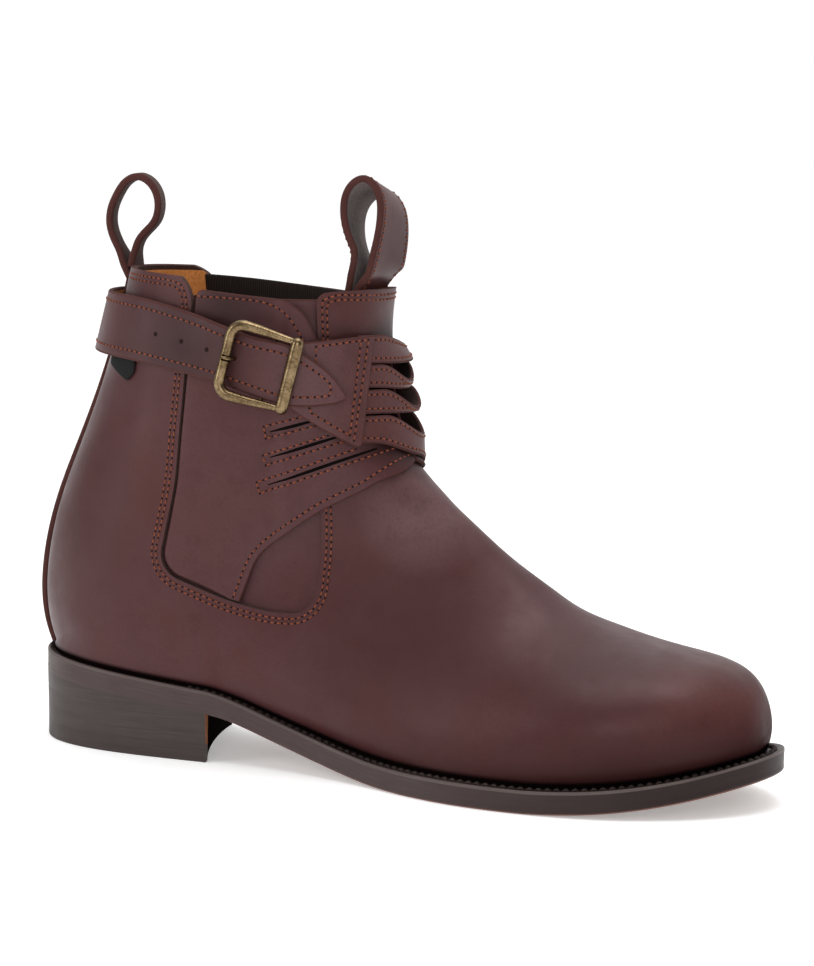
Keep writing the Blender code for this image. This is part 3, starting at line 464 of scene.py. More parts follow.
def curve_through(points, count):
    """Evenly spread points on a smooth curve through some places."""
    points = np.asarray(points, float)
    run = run_length(points)
    where = np.linspace(0, run[-1], count)
    return np.stack([natural_spline(run, points[:, i])(where) for i in range(points.shape[1])], 1)


def beside(line, distance, closed=False):
    """A line on the shaft moved sideways over its surface, to the left seen from outside."""
    points = on_shaft(line[:, 0], line[:, 1])
    if closed:
        along = np.roll(points, -1, 0) - np.roll(points, 1, 0)
    else:
        along = np.gradient(points, axis=0)
    left = np.cross(shaft_normal(line[:, 0], line[:, 1]), unit(along))
    return unwrapped(points + left * np.broadcast_to(distance, len(line))[:, None])


def filleted(corners, steps=10):
    """A closed outline from corners given as x, z and a radius."""
    corners = [np.array(corner, float) for corner in corners]
    outline = []
    for before, corner, after in zip(corners[-1:] + corners[:-1], corners, corners[1:] + corners[:1]):
        place, radius = corner[:2], corner[2]
        if radius == 0:
            outline.append(place)
            continue
        back, ahead = unit(before[:2] - place), unit(after[:2] - place)
        half = math.acos(np.clip(back @ ahead, -1, 1)) / 2
        centre = place + unit(back + ahead) * radius / math.sin(half)
        start, end = (place + way * radius / math.tan(half) - centre for way in (back, ahead))
        for share in np.linspace(0, 1, steps + 1):
            outline.append(centre + unit(start * (1 - share) + end * share) * radius)
    return np.array(outline)


# Meshes: points that are closer than a distance are joined, and edges over an angle are sharp
MERGE_DISTANCE = 0.002
SHARP = 40.0
SHEET_SHARP = 60.0
STRIP_SHARP = 55.0
SMALL_SHARP = 70.0


class Shape:
    """Points, faces, finish numbers and texture places of a mesh in the making."""

    def __init__(self):
        self.points = []
        self.flat = []
        self.faces = []
        self.kinds = []
        self.count = 0

    def add(self, points, flat=None):
        """Adds points with their texture places in millimetres and gives their numbers."""
        points = np.asarray(points, float)
        numbers = self.count + np.arange(points.size // 3).reshape(points.shape[:-1])
        self.points.append(points.reshape(-1, 3))
        flat = np.zeros((points.size // 3, 2)) if flat is None else np.asarray(flat, float).reshape(-1, 2)
        self.flat.append(flat)
        self.count += points.size // 3
        return numbers

    def quads(self, numbers, kinds=0, wrap=False, around=False):
        """Faces over a grid of numbers.  wrap closes its columns and around its rows."""
        if wrap:
            numbers = np.concatenate([numbers, numbers[:, :1]], 1)
        if around:
            numbers = np.concatenate([numbers, numbers[:1]], 0)
        faces = np.stack([numbers[:-1, :-1], numbers[:-1, 1:], numbers[1:, 1:], numbers[1:, :-1]], -1)
        kinds = np.broadcast_to(kinds, faces.shape[:2])
        self.faces += faces.reshape(-1, 4).tolist()
        self.kinds += kinds.reshape(-1).tolist()

    def face(self, numbers, kind=0):
        self.faces.append([int(n) for n in numbers])
        self.kinds.append(kind)

    def closed(self, rings, kinds=0, ends=0):
        """A body of rings with a face at both ends."""
        self.quads(rings, kinds, wrap=True)
        self.face(rings[0], ends)
        self.face(rings[-1], ends)

    def build(self, name, finishes, sharp=SHARP):
        data = bpy.data.meshes.new(name)
        points = placed(np.concatenate(self.points))
        data.from_pydata(points.tolist(), [], self.faces)
        for finish in finishes:
            data.materials.append(finish)
        data.polygons.foreach_set("material_index", self.kinds)
        corners = np.zeros(len(data.loops), np.int32)
        data.loops.foreach_get("vertex_index", corners)
        places = (np.concatenate(self.flat) * MM)[corners]
        data.uv_layers.new(name="flat").data.foreach_set("uv", places.astype(np.float32).reshape(-1))
        mesh = bmesh.new()
        mesh.from_mesh(data)
        bmesh.ops.remove_doubles(mesh, verts=mesh.verts, dist=MERGE_DISTANCE * MM)
        bmesh.ops.recalc_face_normals(mesh, faces=mesh.faces)
        mesh.to_mesh(data)
        mesh.free()
        smooth(data, sharp)
        thing = bpy.data.objects.new(name, data)
        bpy.context.scene.collection.objects.link(thing)
        return thing


def smooth(data, sharp):
    data.shade_smooth()
    data.set_sharp_from_angle(angle=math.radians(sharp))


def dress(thing, slot, *nodes):
    """The piece rides on the one body and stands for some solids, which it hides.  slot is not used."""
    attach(thing, "root")
    if nodes:
        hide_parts(*nodes)
    return thing


def cut(thing, cutter, operation="DIFFERENCE", sharp=SHARP):
    """Applies a Boolean with another object, which is then removed."""
    modifier = thing.modifiers.new("Cut", "BOOLEAN")
    modifier.operation = operation
    modifier.object = cutter
    bpy.context.view_layer.update()
    seen = thing.evaluated_get(bpy.context.evaluated_depsgraph_get())
    data = bpy.data.meshes.new_from_object(seen)
    thing.modifiers.clear()
    thing.data = data
    bpy.data.objects.remove(cutter)
    smooth(data, sharp)
    return thing


def prism(name, outline, low, high, finishes):
    """A cutter with the last of the finishes: an outline in x and z drawn out along y."""
    shape = Shape()
    rings = shape.add([np.insert(np.asarray(outline, float), 1, y, axis=1) for y in (low, high)])
    kind = len(finishes) - 1
    shape.closed(rings, kind, kind)
    return shape.build(name, finishes)


NEARLY_LEVEL = 1e-9


def inside(points, outline):
    """Which points lie in a closed outline of the plane."""
    x, y = points[:, :1], points[:, 1:]
    ax, ay = outline[:, 0], outline[:, 1]
    bx, by = np.roll(ax, -1), np.roll(ay, -1)
    level = np.where(by == ay, NEARLY_LEVEL, by - ay)
    crosses = ((ay > y) != (by > y)) & (x < ax + (y - ay) * (bx - ax) / level)
    return crosses.sum(1) % 2 == 1


# Sheets: millimetres to a degree, steps along the edge, how clear of it the inner points stay in spacings,
# and the rounded rim as insets in softnesses with shares of the thickness
SHEET_SCALE = 0.75
SHEET_EDGE_STEP = 1.0
SHEET_CLEAR = 0.6
KEEP_INSIDE = 1
NEARLY_EQUAL = 1e-6
RIM = ((1.0, 1.0), (0.45, 0.93), (0.1, 0.72), (0.0, 0.45), (0.25, 0.12), (0.8, 0.0))


def sheet(name, outline, low, high, finishes, spacing=1.7, soft=0.55):
    """A leather sheet on the shaft, between two lifts, with rounded edges.

    The outline is a closed line of angles and heights, counter-clockwise seen from outside.  The lifts are
    functions of angles and heights.
    """
    flat_scale = np.array([SHEET_SCALE, 1.0])
    closed = np.concatenate([outline, outline[:1]]) * flat_scale
    ring = resampled(closed, SHEET_EDGE_STEP)[:-1] / flat_scale
    area = np.cross(ring, np.roll(ring, -1, 0)).sum()
    if area < 0:
        ring = ring[::-1]
    rims = [beside(ring, soft * inset, closed=True) for inset, share in RIM]
    edge = rims[0] * flat_scale
    lowest, highest = edge.min(0), edge.max(0)
    across = np.arange(lowest[0], highest[0], spacing)
    upwards = np.arange(lowest[1], highest[1], spacing)
    grid = np.stack(np.meshgrid(across, upwards, indexing="ij"), -1)
    grid[::2, :, 1] += spacing / 2
    grid = grid.reshape(-1, 2)
    clear = np.linalg.norm(grid[:, None] - edge, axis=2).min(1) > SHEET_CLEAR * spacing
    grid = grid[clear & inside(grid, edge)]
    everything = [Vector(p) for p in np.concatenate([edge, grid])]
    made = delaunay_2d_cdt(everything, [], [list(range(len(edge)))], KEEP_INSIDE, NEARLY_EQUAL)
    spots = np.array([tuple(v) for v in made[0]]) / flat_scale
    of_edge = {}
    for number, sources in enumerate(made[3]):
        for source in sources:
            of_edge[source] = number
    boundary = np.array([of_edge[i] for i in range(len(edge))])
    shape = Shape()
    bottom, top = low(spots), high(spots)
    upper_side = shape.add(lifted(spots, top), spots * flat_scale)
    lower_spots = spots.copy()
    lower_spots[boundary] = rims[-1]
    lower_side = shape.add(lifted(lower_spots, bottom), spots * flat_scale)
    for face in made[2]:
        shape.face(upper_side[face])
        shape.face(lower_side[face[::-1]], len(finishes) - 1)
    rings = [upper_side[boundary]]
    for line, (inset, share) in list(zip(rims, RIM))[1:-1]:
        lift = low(line) * (1 - share) + high(line) * share
        rings.append(shape.add(lifted(line, lift), line * flat_scale))
    rings.append(lower_side[boundary])
    shape.quads(np.array(rings), 1 if len(finishes) > 2 else 0, wrap=True)
    return shape.build(name, finishes, SHEET_SHARP)


def steady(lift):
    """A lift that is the same everywhere."""
    return lambda line: np.full(len(line), float(lift))


CORNER = np.radians(np.linspace(0, 90, 5))
CORNER_LIMIT = 0.9
FACE, EDGE, BACK = range(3)


def strip(name, spine, across, thick, finishes, rounding=0.9, widths=9):
    """A band with rounded edges along a spine.  across is its half width, a vector for each point.

    The finishes are those of its outer face, its edges and its inner face.
    """
    spine, across = np.asarray(spine, float), np.asarray(across, float)
    along = unit(np.gradient(spine, axis=0))
    reach = np.linalg.norm(across, axis=1)
    side = across / reach[:, None]
    outwards = unit(np.cross(along, side))
    corner = np.minimum(rounding * thick, CORNER_LIMIT * reach)
    run = run_length(spine)
    profile = []
    kinds = []
    for right, top in ((1, 1), (-1, 1), (-1, -1), (1, -1)):
        turns = CORNER if right == top else CORNER[::-1]
        for turn in turns:
            wide = right * (reach - corner + corner * math.cos(turn))
            high = top * (thick - np.minimum(corner, thick) * (1 - math.sin(turn)))
            profile.append((wide, high))
            kinds.append(EDGE)
        if top == right:
            kinds[-1] = FACE if top > 0 else BACK
            first = profile[-1][0]
            for share in np.linspace(0, 1, widths + 1)[1:-1]:
                profile.append((first * (1 - share) - first * share, np.full(len(spine), top * thick)))
                kinds.append(kinds[-1])
    wide = np.stack([np.broadcast_to(w, len(spine)) for w, h in profile], 1)
    high = np.stack([np.broadcast_to(h, len(spine)) for w, h in profile], 1)
    points = spine[:, None] + side[:, None] * wide[..., None] + outwards[:, None] * high[..., None]
    shape = Shape()
    flat = np.stack([np.broadcast_to(run[:, None], wide.shape), wide], -1)
    numbers = shape.add(points, flat)
    shape.quads(numbers, kinds, wrap=True)
    for end in (0, -1):
        centre = shape.add(spine[end][None], np.array([[run[end], 0.0]]))[0]
        ring = numbers[end]
        for a, b in zip(ring, np.roll(ring, -1)):
            shape.face((a, b, centre), EDGE)
    return shape.build(name, finishes, STRIP_SHARP)


# Finishes
WAVE_PERIOD = 0.314


class Finish:
    """A material in the making, with short ways to its nodes."""

    def __init__(self, name, colour, roughness, metallic=0.0, gloss=0.5, sheen=0.0):
        self.material = bpy.data.materials.new(name)
        self.material.use_nodes = True
        self.tree = self.material.node_tree
        self.shader = self.tree.nodes["Principled BSDF"]
        self.fill(self.shader, {
            "Base Color": (*colour, 1), "Roughness": roughness, "Metallic": metallic,
            "Specular IOR Level": gloss, "Sheen Weight": sheen,
        })
        self.places = self.tree.nodes.new("ShaderNodeTexCoord")
        self.bump = None

    def link(self, source, target):
        self.tree.links.new(source, target)

    def fill(self, node, inputs):
        """Gives a node its inputs, each a plain value or an output of another node."""
        for name, value in inputs.items():
            if isinstance(value, bpy.types.NodeSocket):
                self.link(value, node.inputs[name])
            else:
                node.inputs[name].default_value = value
        return node

    def node(self, kind, inputs):
        return self.fill(self.tree.nodes.new("ShaderNode" + kind), inputs)

    def mapping(self, scale, flat=False):
        source = self.places.outputs["UV" if flat else "Object"]
        return self.node("Mapping", {"Scale": scale, "Vector": source}).outputs["Vector"]

    def noise(self, size, detail=3.0, rough=0.55, stretch=(1, 1, 1), flat=False, twist=0.0):
        """Noise whose features are about a size in millimetres."""
        node = self.node("TexNoise", {
            "Scale": 1 / (size * MM), "Detail": detail, "Roughness": rough, "Distortion": twist,
            "Vector": self.mapping(stretch, flat),
        })
        return node.outputs["Fac"]

    def cells(self, size):
        """Distance to the middle of small cells, for pores and grain."""
        node = self.node("TexVoronoi", {"Scale": 1 / (size * MM), "Vector": self.mapping((1, 1, 1))})
        return node.outputs["Distance"]

    def waves(self, size, stretch):
        """Even waves over the texture places, a size in millimetres apart."""
        places = self.mapping(stretch, flat=True)
        return self.node("TexWave", {"Scale": WAVE_PERIOD / (size * MM), "Vector": places}).outputs["Fac"]

    def between(self, value, low, high, start=0.0, end=1.0):
        """A value spread from one range to another."""
        node = self.node("MapRange", {
            "Value": value, "From Min": low, "From Max": high, "To Min": start, "To Max": end,
        })
        return node.outputs["Result"]

    def part(self, source, axis):
        """One part of the places on the boot, Object, or of the texture places, UV."""
        return self.node("SeparateXYZ", {"Vector": self.places.outputs[source]}).outputs[axis]

    def along(self, axis, start, end):
        """Share of the way along an axis of the boot between two places in millimetres."""
        low, high = ((place - ORIGIN[axis]) * MM for place in (start, end))
        return self.between(self.part("Object", axis), low, high)

    def near(self, place, radius):
        """1 at a place of the boot, falling to 0 at a radius in millimetres."""
        node = self.node("VectorMath", {0: self.places.outputs["Object"], 1: tuple(placed(place))})
        node.operation = "DISTANCE"
        return self.between(node.outputs["Value"], radius * MM, 0.0)

    def mix(self, share, first, second):
        """A colour between two, each a plain colour or another mix."""
        node = self.node("Mix", {"Factor": share})
        node.data_type = "RGBA"
        colours = [socket for socket in node.inputs if socket.type == "RGBA"]
        for socket, value in zip(colours, (first, second)):
            if isinstance(value, tuple):
                socket.default_value = (*value, 1)
            else:
                self.link(value, socket)
        return next(socket for socket in node.outputs if socket.type == "RGBA")

    def times(self, first, second):
        node = self.node("Math", {0: first, 1: second})
        node.operation = "MULTIPLY"
        return node.outputs["Value"]

    def colour(self, value):
        self.link(value, self.shader.inputs["Base Color"])

    def roughness(self, value):
        self.link(value, self.shader.inputs["Roughness"])

    def raise_by(self, value, height, strength=1.0):
        """Bump with a height in millimetres, over any bump that is there."""
        inputs = {"Distance": height * MM, "Strength": strength, "Height": value}
        if self.bump:
            inputs["Normal"] = self.bump
        self.bump = self.node("Bump", inputs).outputs["Normal"]
        self.link(self.bump, self.shader.inputs["Normal"])


def leather_finish(name, cool, warm, roughness, tones, painted_lower_shade=False, painted_band_shade=True):
    """Oiled leather: cloudy in colour, with fine grain and a waxy gloss.

    tones are soft patches of another colour, some of them painted highlight and painted shade.  Leather can
    get painted shade behind the bands, near black and without gloss.  Leather of the upper can also get
    painted shade low at the front and a painted black shadow along its lower edge, where it tucks into the
    welt; it then gets the shade behind the bands too.
    """
    finish = Finish(name, cool, roughness, gloss=LEATHER_GLOSS)
    finish.shader.inputs["Specular Tint"].default_value = (*LEATHER_SHINE, 1)
    gloss = finish.shader.inputs["Specular IOR Level"]
    clouds = finish.between(finish.noise(38, 4, 0.6, twist=0.6), 0.36, 0.64)
    colour = finish.mix(clouds, cool, warm)
    for place, radius, tone, strength in tones:
        colour = finish.mix(finish.times(finish.near(place, radius), strength), colour, tone)
    if painted_band_shade:
        # Painted shade behind the bands: near black and without gloss.
        shaded = finish.between(finish.near(*BEHIND_BANDS), 0.0, BANDS_SHADE)
        colour = finish.mix(shaded, colour, SHADOW_BLACK)
        shine = finish.between(shaded, 0.0, 1.0, LEATHER_GLOSS, 0.0)
        finish.link(shine, gloss)
    for size, detail, rough, low, high, most in LEATHER_SPOTS:
        spots = finish.between(finish.noise(size, detail, rough), low, high, 0.0, most)
        colour = finish.mix(spots, colour, DARK)
    if painted_lower_shade:
        height = finish.part("UV", 0)
        low_front = finish.times(finish.between(height, *SHADE_EDGE), finish.along(0, *SHADE_FRONT))
        colour = finish.mix(low_front, colour, SHADE)
        # Painted black shadow along the lower edge, where the upper tucks into the welt.
        clear = finish.between(height, *WELT_SHADOW_EDGE)
        colour = finish.mix(clear, SHADOW_BLACK, colour)
        dull = finish.between(low_front, 0.0, 1.0, 1.0, SHADE_SHINE)
        dull_toe = finish.between(finish.near(*DULL_TOE), 0.0, 0.6, 1.0, TOE_SHINE)
        finish.link(finish.times(finish.times(clear, finish.times(dull, dull_toe)), shine), gloss)
    finish.colour(colour)
    finish.roughness(finish.between(finish.noise(14, 4), 0.3, 0.7, roughness - 0.07, roughness + 0.08))
    finish.raise_by(finish.noise(5.5, 3, 0.5), 0.16, 0.5)
    finish.raise_by(finish.noise(0.9, 3, 0.6), 0.05, 0.5)
    finish.raise_by(finish.cells(0.75), 0.03, 0.4)
    return finish.material


def suede_finish(name, first, second, nap=0.7):
    """The rough side of leather: fibres that stand up in two tones."""
    finish = Finish(name, first, 0.95, gloss=0.1, sheen=0.04)
    fibres = finish.between(finish.noise(nap, 4, 0.7), 0.35, 0.68)
    clouds = finish.between(finish.noise(11, 3), 0.35, 0.7, 0.0, 0.6)
    finish.colour(finish.mix(clouds, finish.mix(fibres, first, second), second))
    finish.raise_by(finish.noise(nap, 4, 0.7), 0.3, 0.8)
    return finish.material


def edge_finish(name, first, second, roughness, line=0.5, front=None, gloss=0.25):
    """A trimmed and burnished leather edge with fine lines along it.  front is its colour at the toe."""
    finish = Finish(name, first, roughness, gloss=gloss)
    lines = finish.noise(line, 3, 0.6, (0.03, 1, 1), flat=True)
    clouds = finish.noise(16, 4, 0.6)
    colour = finish.mix(finish.between(lines, 0.35, 0.7), first, second)
    colour = finish.mix(finish.between(clouds, 0.45, 0.75, 0.0, 0.6), colour, first)
    if front:
        colour = finish.mix(finish.along(0, *EDGE_DARKENS), colour, front)
    finish.colour(colour)
    finish.roughness(finish.between(clouds, 0.3, 0.7, roughness - 0.08, roughness + 0.08))
    finish.raise_by(lines, 0.12, 0.5)
    finish.raise_by(finish.noise(1.2, 3), 0.06, 0.4)
    return finish.material


def thread_finish(name, first, second):
    finish = Finish(name, first, 0.7, gloss=0.2)
    finish.colour(finish.mix(finish.between(finish.noise(0.8, 2), 0.35, 0.65), first, second))
    finish.raise_by(finish.noise(0.25, 2), 0.12, 0.6)
    return finish.material


def brass_finish(name):
    """Cast brass with an antique stain, rubbed bright in places."""
    bright, stain, rubbed = (0.19, 0.13, 0.066), (0.085, 0.056, 0.03), (0.27, 0.195, 0.11)
    finish = Finish(name, bright, 0.3, metallic=1.0)
    mottle = finish.between(finish.noise(0.9, 4, 0.65), 0.38, 0.66)
    broad = finish.between(finish.noise(5, 3), 0.38, 0.66)
    finish.colour(finish.mix(broad, finish.mix(mottle, bright, stain), finish.mix(mottle, rubbed, bright)))
    finish.roughness(finish.between(mottle, 0, 1, 0.24, 0.36))
    finish.raise_by(finish.noise(0.8, 3, 0.6), 0.05, 0.5)
    return finish.material


def elastic_finish(name):
    dark, light = (0.013, 0.009, 0.0075), (0.031, 0.021, 0.0175)
    finish = Finish(name, (0.02, 0.013, 0.011), 0.85, gloss=0.2)
    ribs = finish.waves(1.0, (1, 0.0, 1))
    finish.colour(finish.mix(ribs, dark, light))
    finish.raise_by(ribs, 0.35, 0.9)
    finish.raise_by(finish.waves(0.7, (0.0, 1, 1)), 0.12, 0.6)
    return finish.material


def cloth_finish(name, first, second):
    finish = Finish(name, first, 0.85, gloss=0.2)
    weave = finish.times(finish.waves(0.5, (1, 0.0, 1)), finish.waves(0.5, (0.0, 1, 1)))
    finish.colour(finish.mix(weave, first, second))
    finish.raise_by(weave, 0.1, 0.7)
    return finish.material


def rubber_finish(name):
    dark, worn = (0.036, 0.027, 0.024), (0.062, 0.05, 0.046)
    finish = Finish(name, (0.035, 0.027, 0.025), 0.6, gloss=0.25)
    finish.colour(finish.mix(finish.between(finish.noise(7, 4), 0.4, 0.7), dark, worn))
    finish.roughness(finish.between(finish.noise(3, 3), 0.3, 0.7, 0.5, 0.68))
    finish.raise_by(finish.noise(0.8, 3), 0.08, 0.5)
    return finish.material


# Colours and zones of the leather.  Zones are heights over the welt in metres, places along the boot, or a
# place and a radius
LEATHER_GLOSS = 0.28
LEATHER_SHINE = (1.0, 0.74, 0.74)
COOL = (0.062, 0.0225, 0.025)
WARM = (0.060, 0.018, 0.0165)
DARK = (0.034, 0.0115, 0.012)
# Lighter, redder colour of the toe: rubbed wear, and painted highlight where it stands for the toe's lit
# shine
RUB_AND_HIGHLIGHT = (0.115, 0.041, 0.037)
# Painted shadow, near black, behind the bands and along the upper's lower edge above the welt; the edge zone
# is a height over the welt in metres
SHADOW_BLACK = (0.004, 0.002, 0.002)
WELT_SHADOW_EDGE = (0.6 * MM, 2.2 * MM)
SHADE = (0.031, 0.010, 0.010)
SHADE_EDGE = (24.0 * MM, 4.0 * MM)
SHADE_FRONT = (150.0, 250.0)
SHADE_SHINE = 0.3
DULL_TOE = ((298.0, 0.0, 30.0), 40.0)
TOE_SHINE = 0.2
EDGE_DARKENS = (160.0, 260.0)
# Painted shade behind the bands: its middle and radius, and the nearness from which it is full
BEHIND_BANDS = ((142.0, 8.0, 140.0), 36.0)
BANDS_SHADE = 0.4

# Dark spots of the leather: size, detail and roughness of the noise, the range that shows, and the strength
LEATHER_SPOTS = (
    (9.0, 5, 0.65, 0.5, 0.82, 0.5),
    (1.1, 2, 0.55, 0.5, 0.8, 0.35),
)

# Soft patches on the upper's leather, some of them painted highlight: the middle of a patch, its radius, its
# colour and its strength
UPPER_PATCHES_AND_HIGHLIGHTS = (
    ((166.0, -42.0, 60.0), 62.0, DARK, 0.7),
    # Rubbed and lighter top of the toe, partly painted highlight
    ((280.0, -22.0, 42.0), 30.0, RUB_AND_HIGHLIGHT, 0.35),
    # Painted highlight: the sheen of the lamps on the instep ridge
    ((163.0, -8.0, 100.0), 27.0, (0.125, 0.07, 0.073), 0.9),
    ((236.0, -28.0, 48.0), 36.0, DARK, 0.75),
    ((28.0, -32.0, 88.0), 45.0, (0.037, 0.0075, 0.0075), 0.6),
    # Painted highlight at the toe tip, in place of its dulled shine
    ((297.0, -8.0, 28.0), 26.0, RUB_AND_HIGHLIGHT, 0.8),
)
# Painted shadow of the strap on the top of the outer flap: the middle, radius, colour and strength
PANEL_STRAP_SHADOW = (
    ((92.0, -40.0, 174.0), 22.0, (0.014, 0.005, 0.005), 1.0),
)
TRIM_TONES = (
    ((76.0, -40.0, 160.0), 46.0, (0.022, 0.008, 0.009), 1.0),
    ((140.0, 4.0, 196.0), 27.0, (0.03, 0.009, 0.01), 0.9),
    ((126.0, -34.0, 150.0), 24.0, (0.098, 0.047, 0.05), 0.9),
)
LEATHER_FINISH = leather_finish("upper_leather", COOL, WARM, 0.42, UPPER_PATCHES_AND_HIGHLIGHTS, painted_lower_shade=True)
PANEL_COOL = (0.066, 0.0255, 0.0285)
PANEL_WARM = (0.064, 0.022, 0.022)
PANEL_FINISH = leather_finish("panel_leather", PANEL_COOL, PANEL_WARM, 0.42, PANEL_STRAP_SHADOW)
TRIM_COOL = (0.080, 0.033, 0.035)
TRIM_WARM = (0.075, 0.0265, 0.025)
TRIM_FINISH = leather_finish("trim_leather", TRIM_COOL, TRIM_WARM, 0.44, TRIM_TONES, painted_band_shade=False)
CUT_EDGE = suede_finish("cut_edge", (0.085, 0.03, 0.025), (0.052, 0.02, 0.018), 0.5)
FLESH = suede_finish("flesh_side", (0.036, 0.015, 0.012), (0.072, 0.038, 0.031), 0.8)
GREY_SUEDE = suede_finish("grey_suede", (0.062, 0.045, 0.042), (0.2, 0.165, 0.158), 0.8)
TAN_SUEDE = suede_finish("tan_lining", (0.95, 0.40, 0.12), (0.62, 0.22, 0.06), 1.0)
SOLE_EDGE = edge_finish(
    "sole_edge", (0.052, 0.033, 0.031), (0.068, 0.047, 0.044), 0.45, front=(0.017, 0.007, 0.0055)
)
HEEL_EDGE = edge_finish("heel_edge", (0.042, 0.030, 0.027), (0.058, 0.043, 0.039), 0.45, 0.8)
LIFT_EDGE = edge_finish("lift_edge", (0.039, 0.027, 0.025), (0.051, 0.037, 0.034), 0.46, 0.8)
# Painted shade: near black on the hollow heel breast and in the slit openings
DEEP_SHADE_BLACK = edge_finish("breast_painted_shade", (0.004, 0.003, 0.003), (0.008, 0.006, 0.006), 0.9, gloss=0.0)
# Painted highlight: a lighter colour on the welt's rounded upper edge, where light catches it
WELT_RIM_HIGHLIGHT = edge_finish("welt_rim_highlight", (0.075, 0.055, 0.05), (0.105, 0.08, 0.073), 0.45)
SOLE_RIM = edge_finish("sole_rim", (0.19, 0.08, 0.06), (0.12, 0.055, 0.043), 0.6)
RAW_EDGE = suede_finish("raw_edge", (0.36, 0.13, 0.05), (0.2, 0.07, 0.03), 0.5)
WELT_FINISH = edge_finish("welt_leather", (0.020, 0.013, 0.011), (0.034, 0.024, 0.021), 0.45)
THREAD = thread_finish("seam_thread", (0.25, 0.066, 0.028), (0.15, 0.038, 0.017))
WELT_THREAD = thread_finish("welt_thread", (0.016, 0.010, 0.009), (0.034, 0.023, 0.020))
# Painted shade of the needle and buckle holes
HOLE_SHADE = suede_finish("needle_hole", (0.012, 0.005, 0.004), (0.02, 0.008, 0.006), 0.3)
BRASS = brass_finish("antique_brass_mottled")
ELASTIC = elastic_finish("ribbed_elastic")
TAG_CLOTH = cloth_finish("black_tag", (0.008, 0.008, 0.008), (0.03, 0.03, 0.03))
RUBBER = rubber_finish("heel_rubber_worn")
SOLE_UNDER = edge_finish("sole_leather", (0.13, 0.062, 0.036), (0.17, 0.085, 0.05), 0.6, 2.0)

# Finishes of the outer face, the cut edge and the back of each kind of sheet
PANEL_SHEET = [PANEL_FINISH, CUT_EDGE, FLESH]
TRIM_SHEET = [TRIM_FINISH, CUT_EDGE, FLESH]
LINED_SHEET = [TRIM_FINISH, CUT_EDGE, TAN_SUEDE]
SMOOTH_LOOP = [TRIM_FINISH, CUT_EDGE, GREY_SUEDE]
ROUGH_LOOP = [FLESH, CUT_EDGE, FLESH]

# Upper
UPPER_ROWS = np.concatenate([np.linspace(0, 9, 96), np.linspace(9, 21, 121)[1:]])
UPPER_TURNS = np.linspace(-1, 1, 145)
CUT_OUT_LOW = 60.6
CUT_OUT_BACK = 65.6
CUT_OUT_FRONT = 128.2
OUTSIDE, LINING, CUT_RIM, FACING = range(4)
CUT_OUT_COLUMNS = ("outer_x", "inner_x", "z", "radius")
CUT_OUT = (
    (56.0, 36.0, 189.5, 0),
    (78.4, 53.0, 185.4, 13),
    (75.3, 64.0, 147.0, 60),
    (72.6, 66.0, 108.0, 90),
    (CUT_OUT_BACK - 1.6, CUT_OUT_BACK - 1.6, 73.4, 10),
    (93.0, 93.0, 63.4, 120),
    (110.0, 110.0, CUT_OUT_LOW + 0.1, 40),
    (CUT_OUT_FRONT, CUT_OUT_FRONT, CUT_OUT_LOW, 10),
    (CUT_OUT_FRONT, CUT_OUT_FRONT, 97.0, 200),
    (125.4, 125.4, 181.0, 4),
    (150.0, 150.0, 183.0, 0),
    (150.0, 150.0, 200.0, 0),
    (56.0, 36.0, 200.0, 0),
)
SIDES = {"outer": (-80.0, -2.0), "inner": (2.0, 80.0)}
FACING_ROWS = 1
NOSE_RINGS = 5
NOSE_DEPTH = 0.9
FEATHER_TUCK = 0.65
ROW_SLACK = 0.01


def cut_outline(side):
    x, z, radius = (column(CUT_OUT, CUT_OUT_COLUMNS, name) for name in (side + "_x", "z", "radius"))
    return filleted(np.column_stack([x, z, radius]))


def build_upper():
    points, normals = surface(UPPER_ROWS, UPPER_TURNS)
    lined = np.minimum(np.arange(len(UPPER_ROWS)), np.searchsorted(UPPER_ROWS, LAST_LINED_ROW))
    inner_points = (points - normals * WALL)[lined]
    open_rows = np.flatnonzero(UPPER_ROWS >= FIRST_OPEN_ROW - ROW_SLACK)
    for grid in (points, inner_points):
        grid[open_rows[:, None], (0, -1), 2] -= FEATHER_TUCK
    shape = Shape()
    above = points[:, :, 2] - feather_height(points[:, :, 0])
    outer = shape.add(points, np.stack([above, np.zeros_like(above)], -1))
    inner = shape.add(inner_points)
    shape.quads(outer, OUTSIDE)
    shape.quads(inner, np.where(np.arange(len(inner) - 1) < FACING_ROWS, FACING, LINING)[:, None])
    last = points[-1]
    middle = last.mean(0)
    ring = outer[-1]
    for size in np.linspace(1, 0, NOSE_RINGS + 1)[1:-1]:
        scaled = middle + (last - middle) * size + (NOSE_DEPTH * (1 - size**2), 0, 0)
        following = shape.add(scaled, np.stack([above[-1], np.zeros(len(scaled))], -1))
        shape.quads(np.stack([ring, following]), OUTSIDE, wrap=True)
        ring = following
    shape.face(ring)
    shape.face(inner[-1], LINING)
    shape.quads(np.stack([outer[0], inner[0]]), CUT_RIM)
    for end in (0, -1):
        shape.quads(np.stack([outer[open_rows, end], inner[open_rows, end]]), OUTSIDE)
    shape.face((outer[-1][0], outer[-1][-1], inner[-1][-1], inner[-1][0]))
    finishes = [LEATHER_FINISH, TAN_SUEDE, CUT_EDGE, FLESH]
    upper = shape.build("boot_upper", finishes)
    for side, (low, high) in SIDES.items():
        cut(upper, prism("cut_out_" + side, cut_outline(side), low, high, finishes))
    return dress(upper, "oiled_leather", "upper")


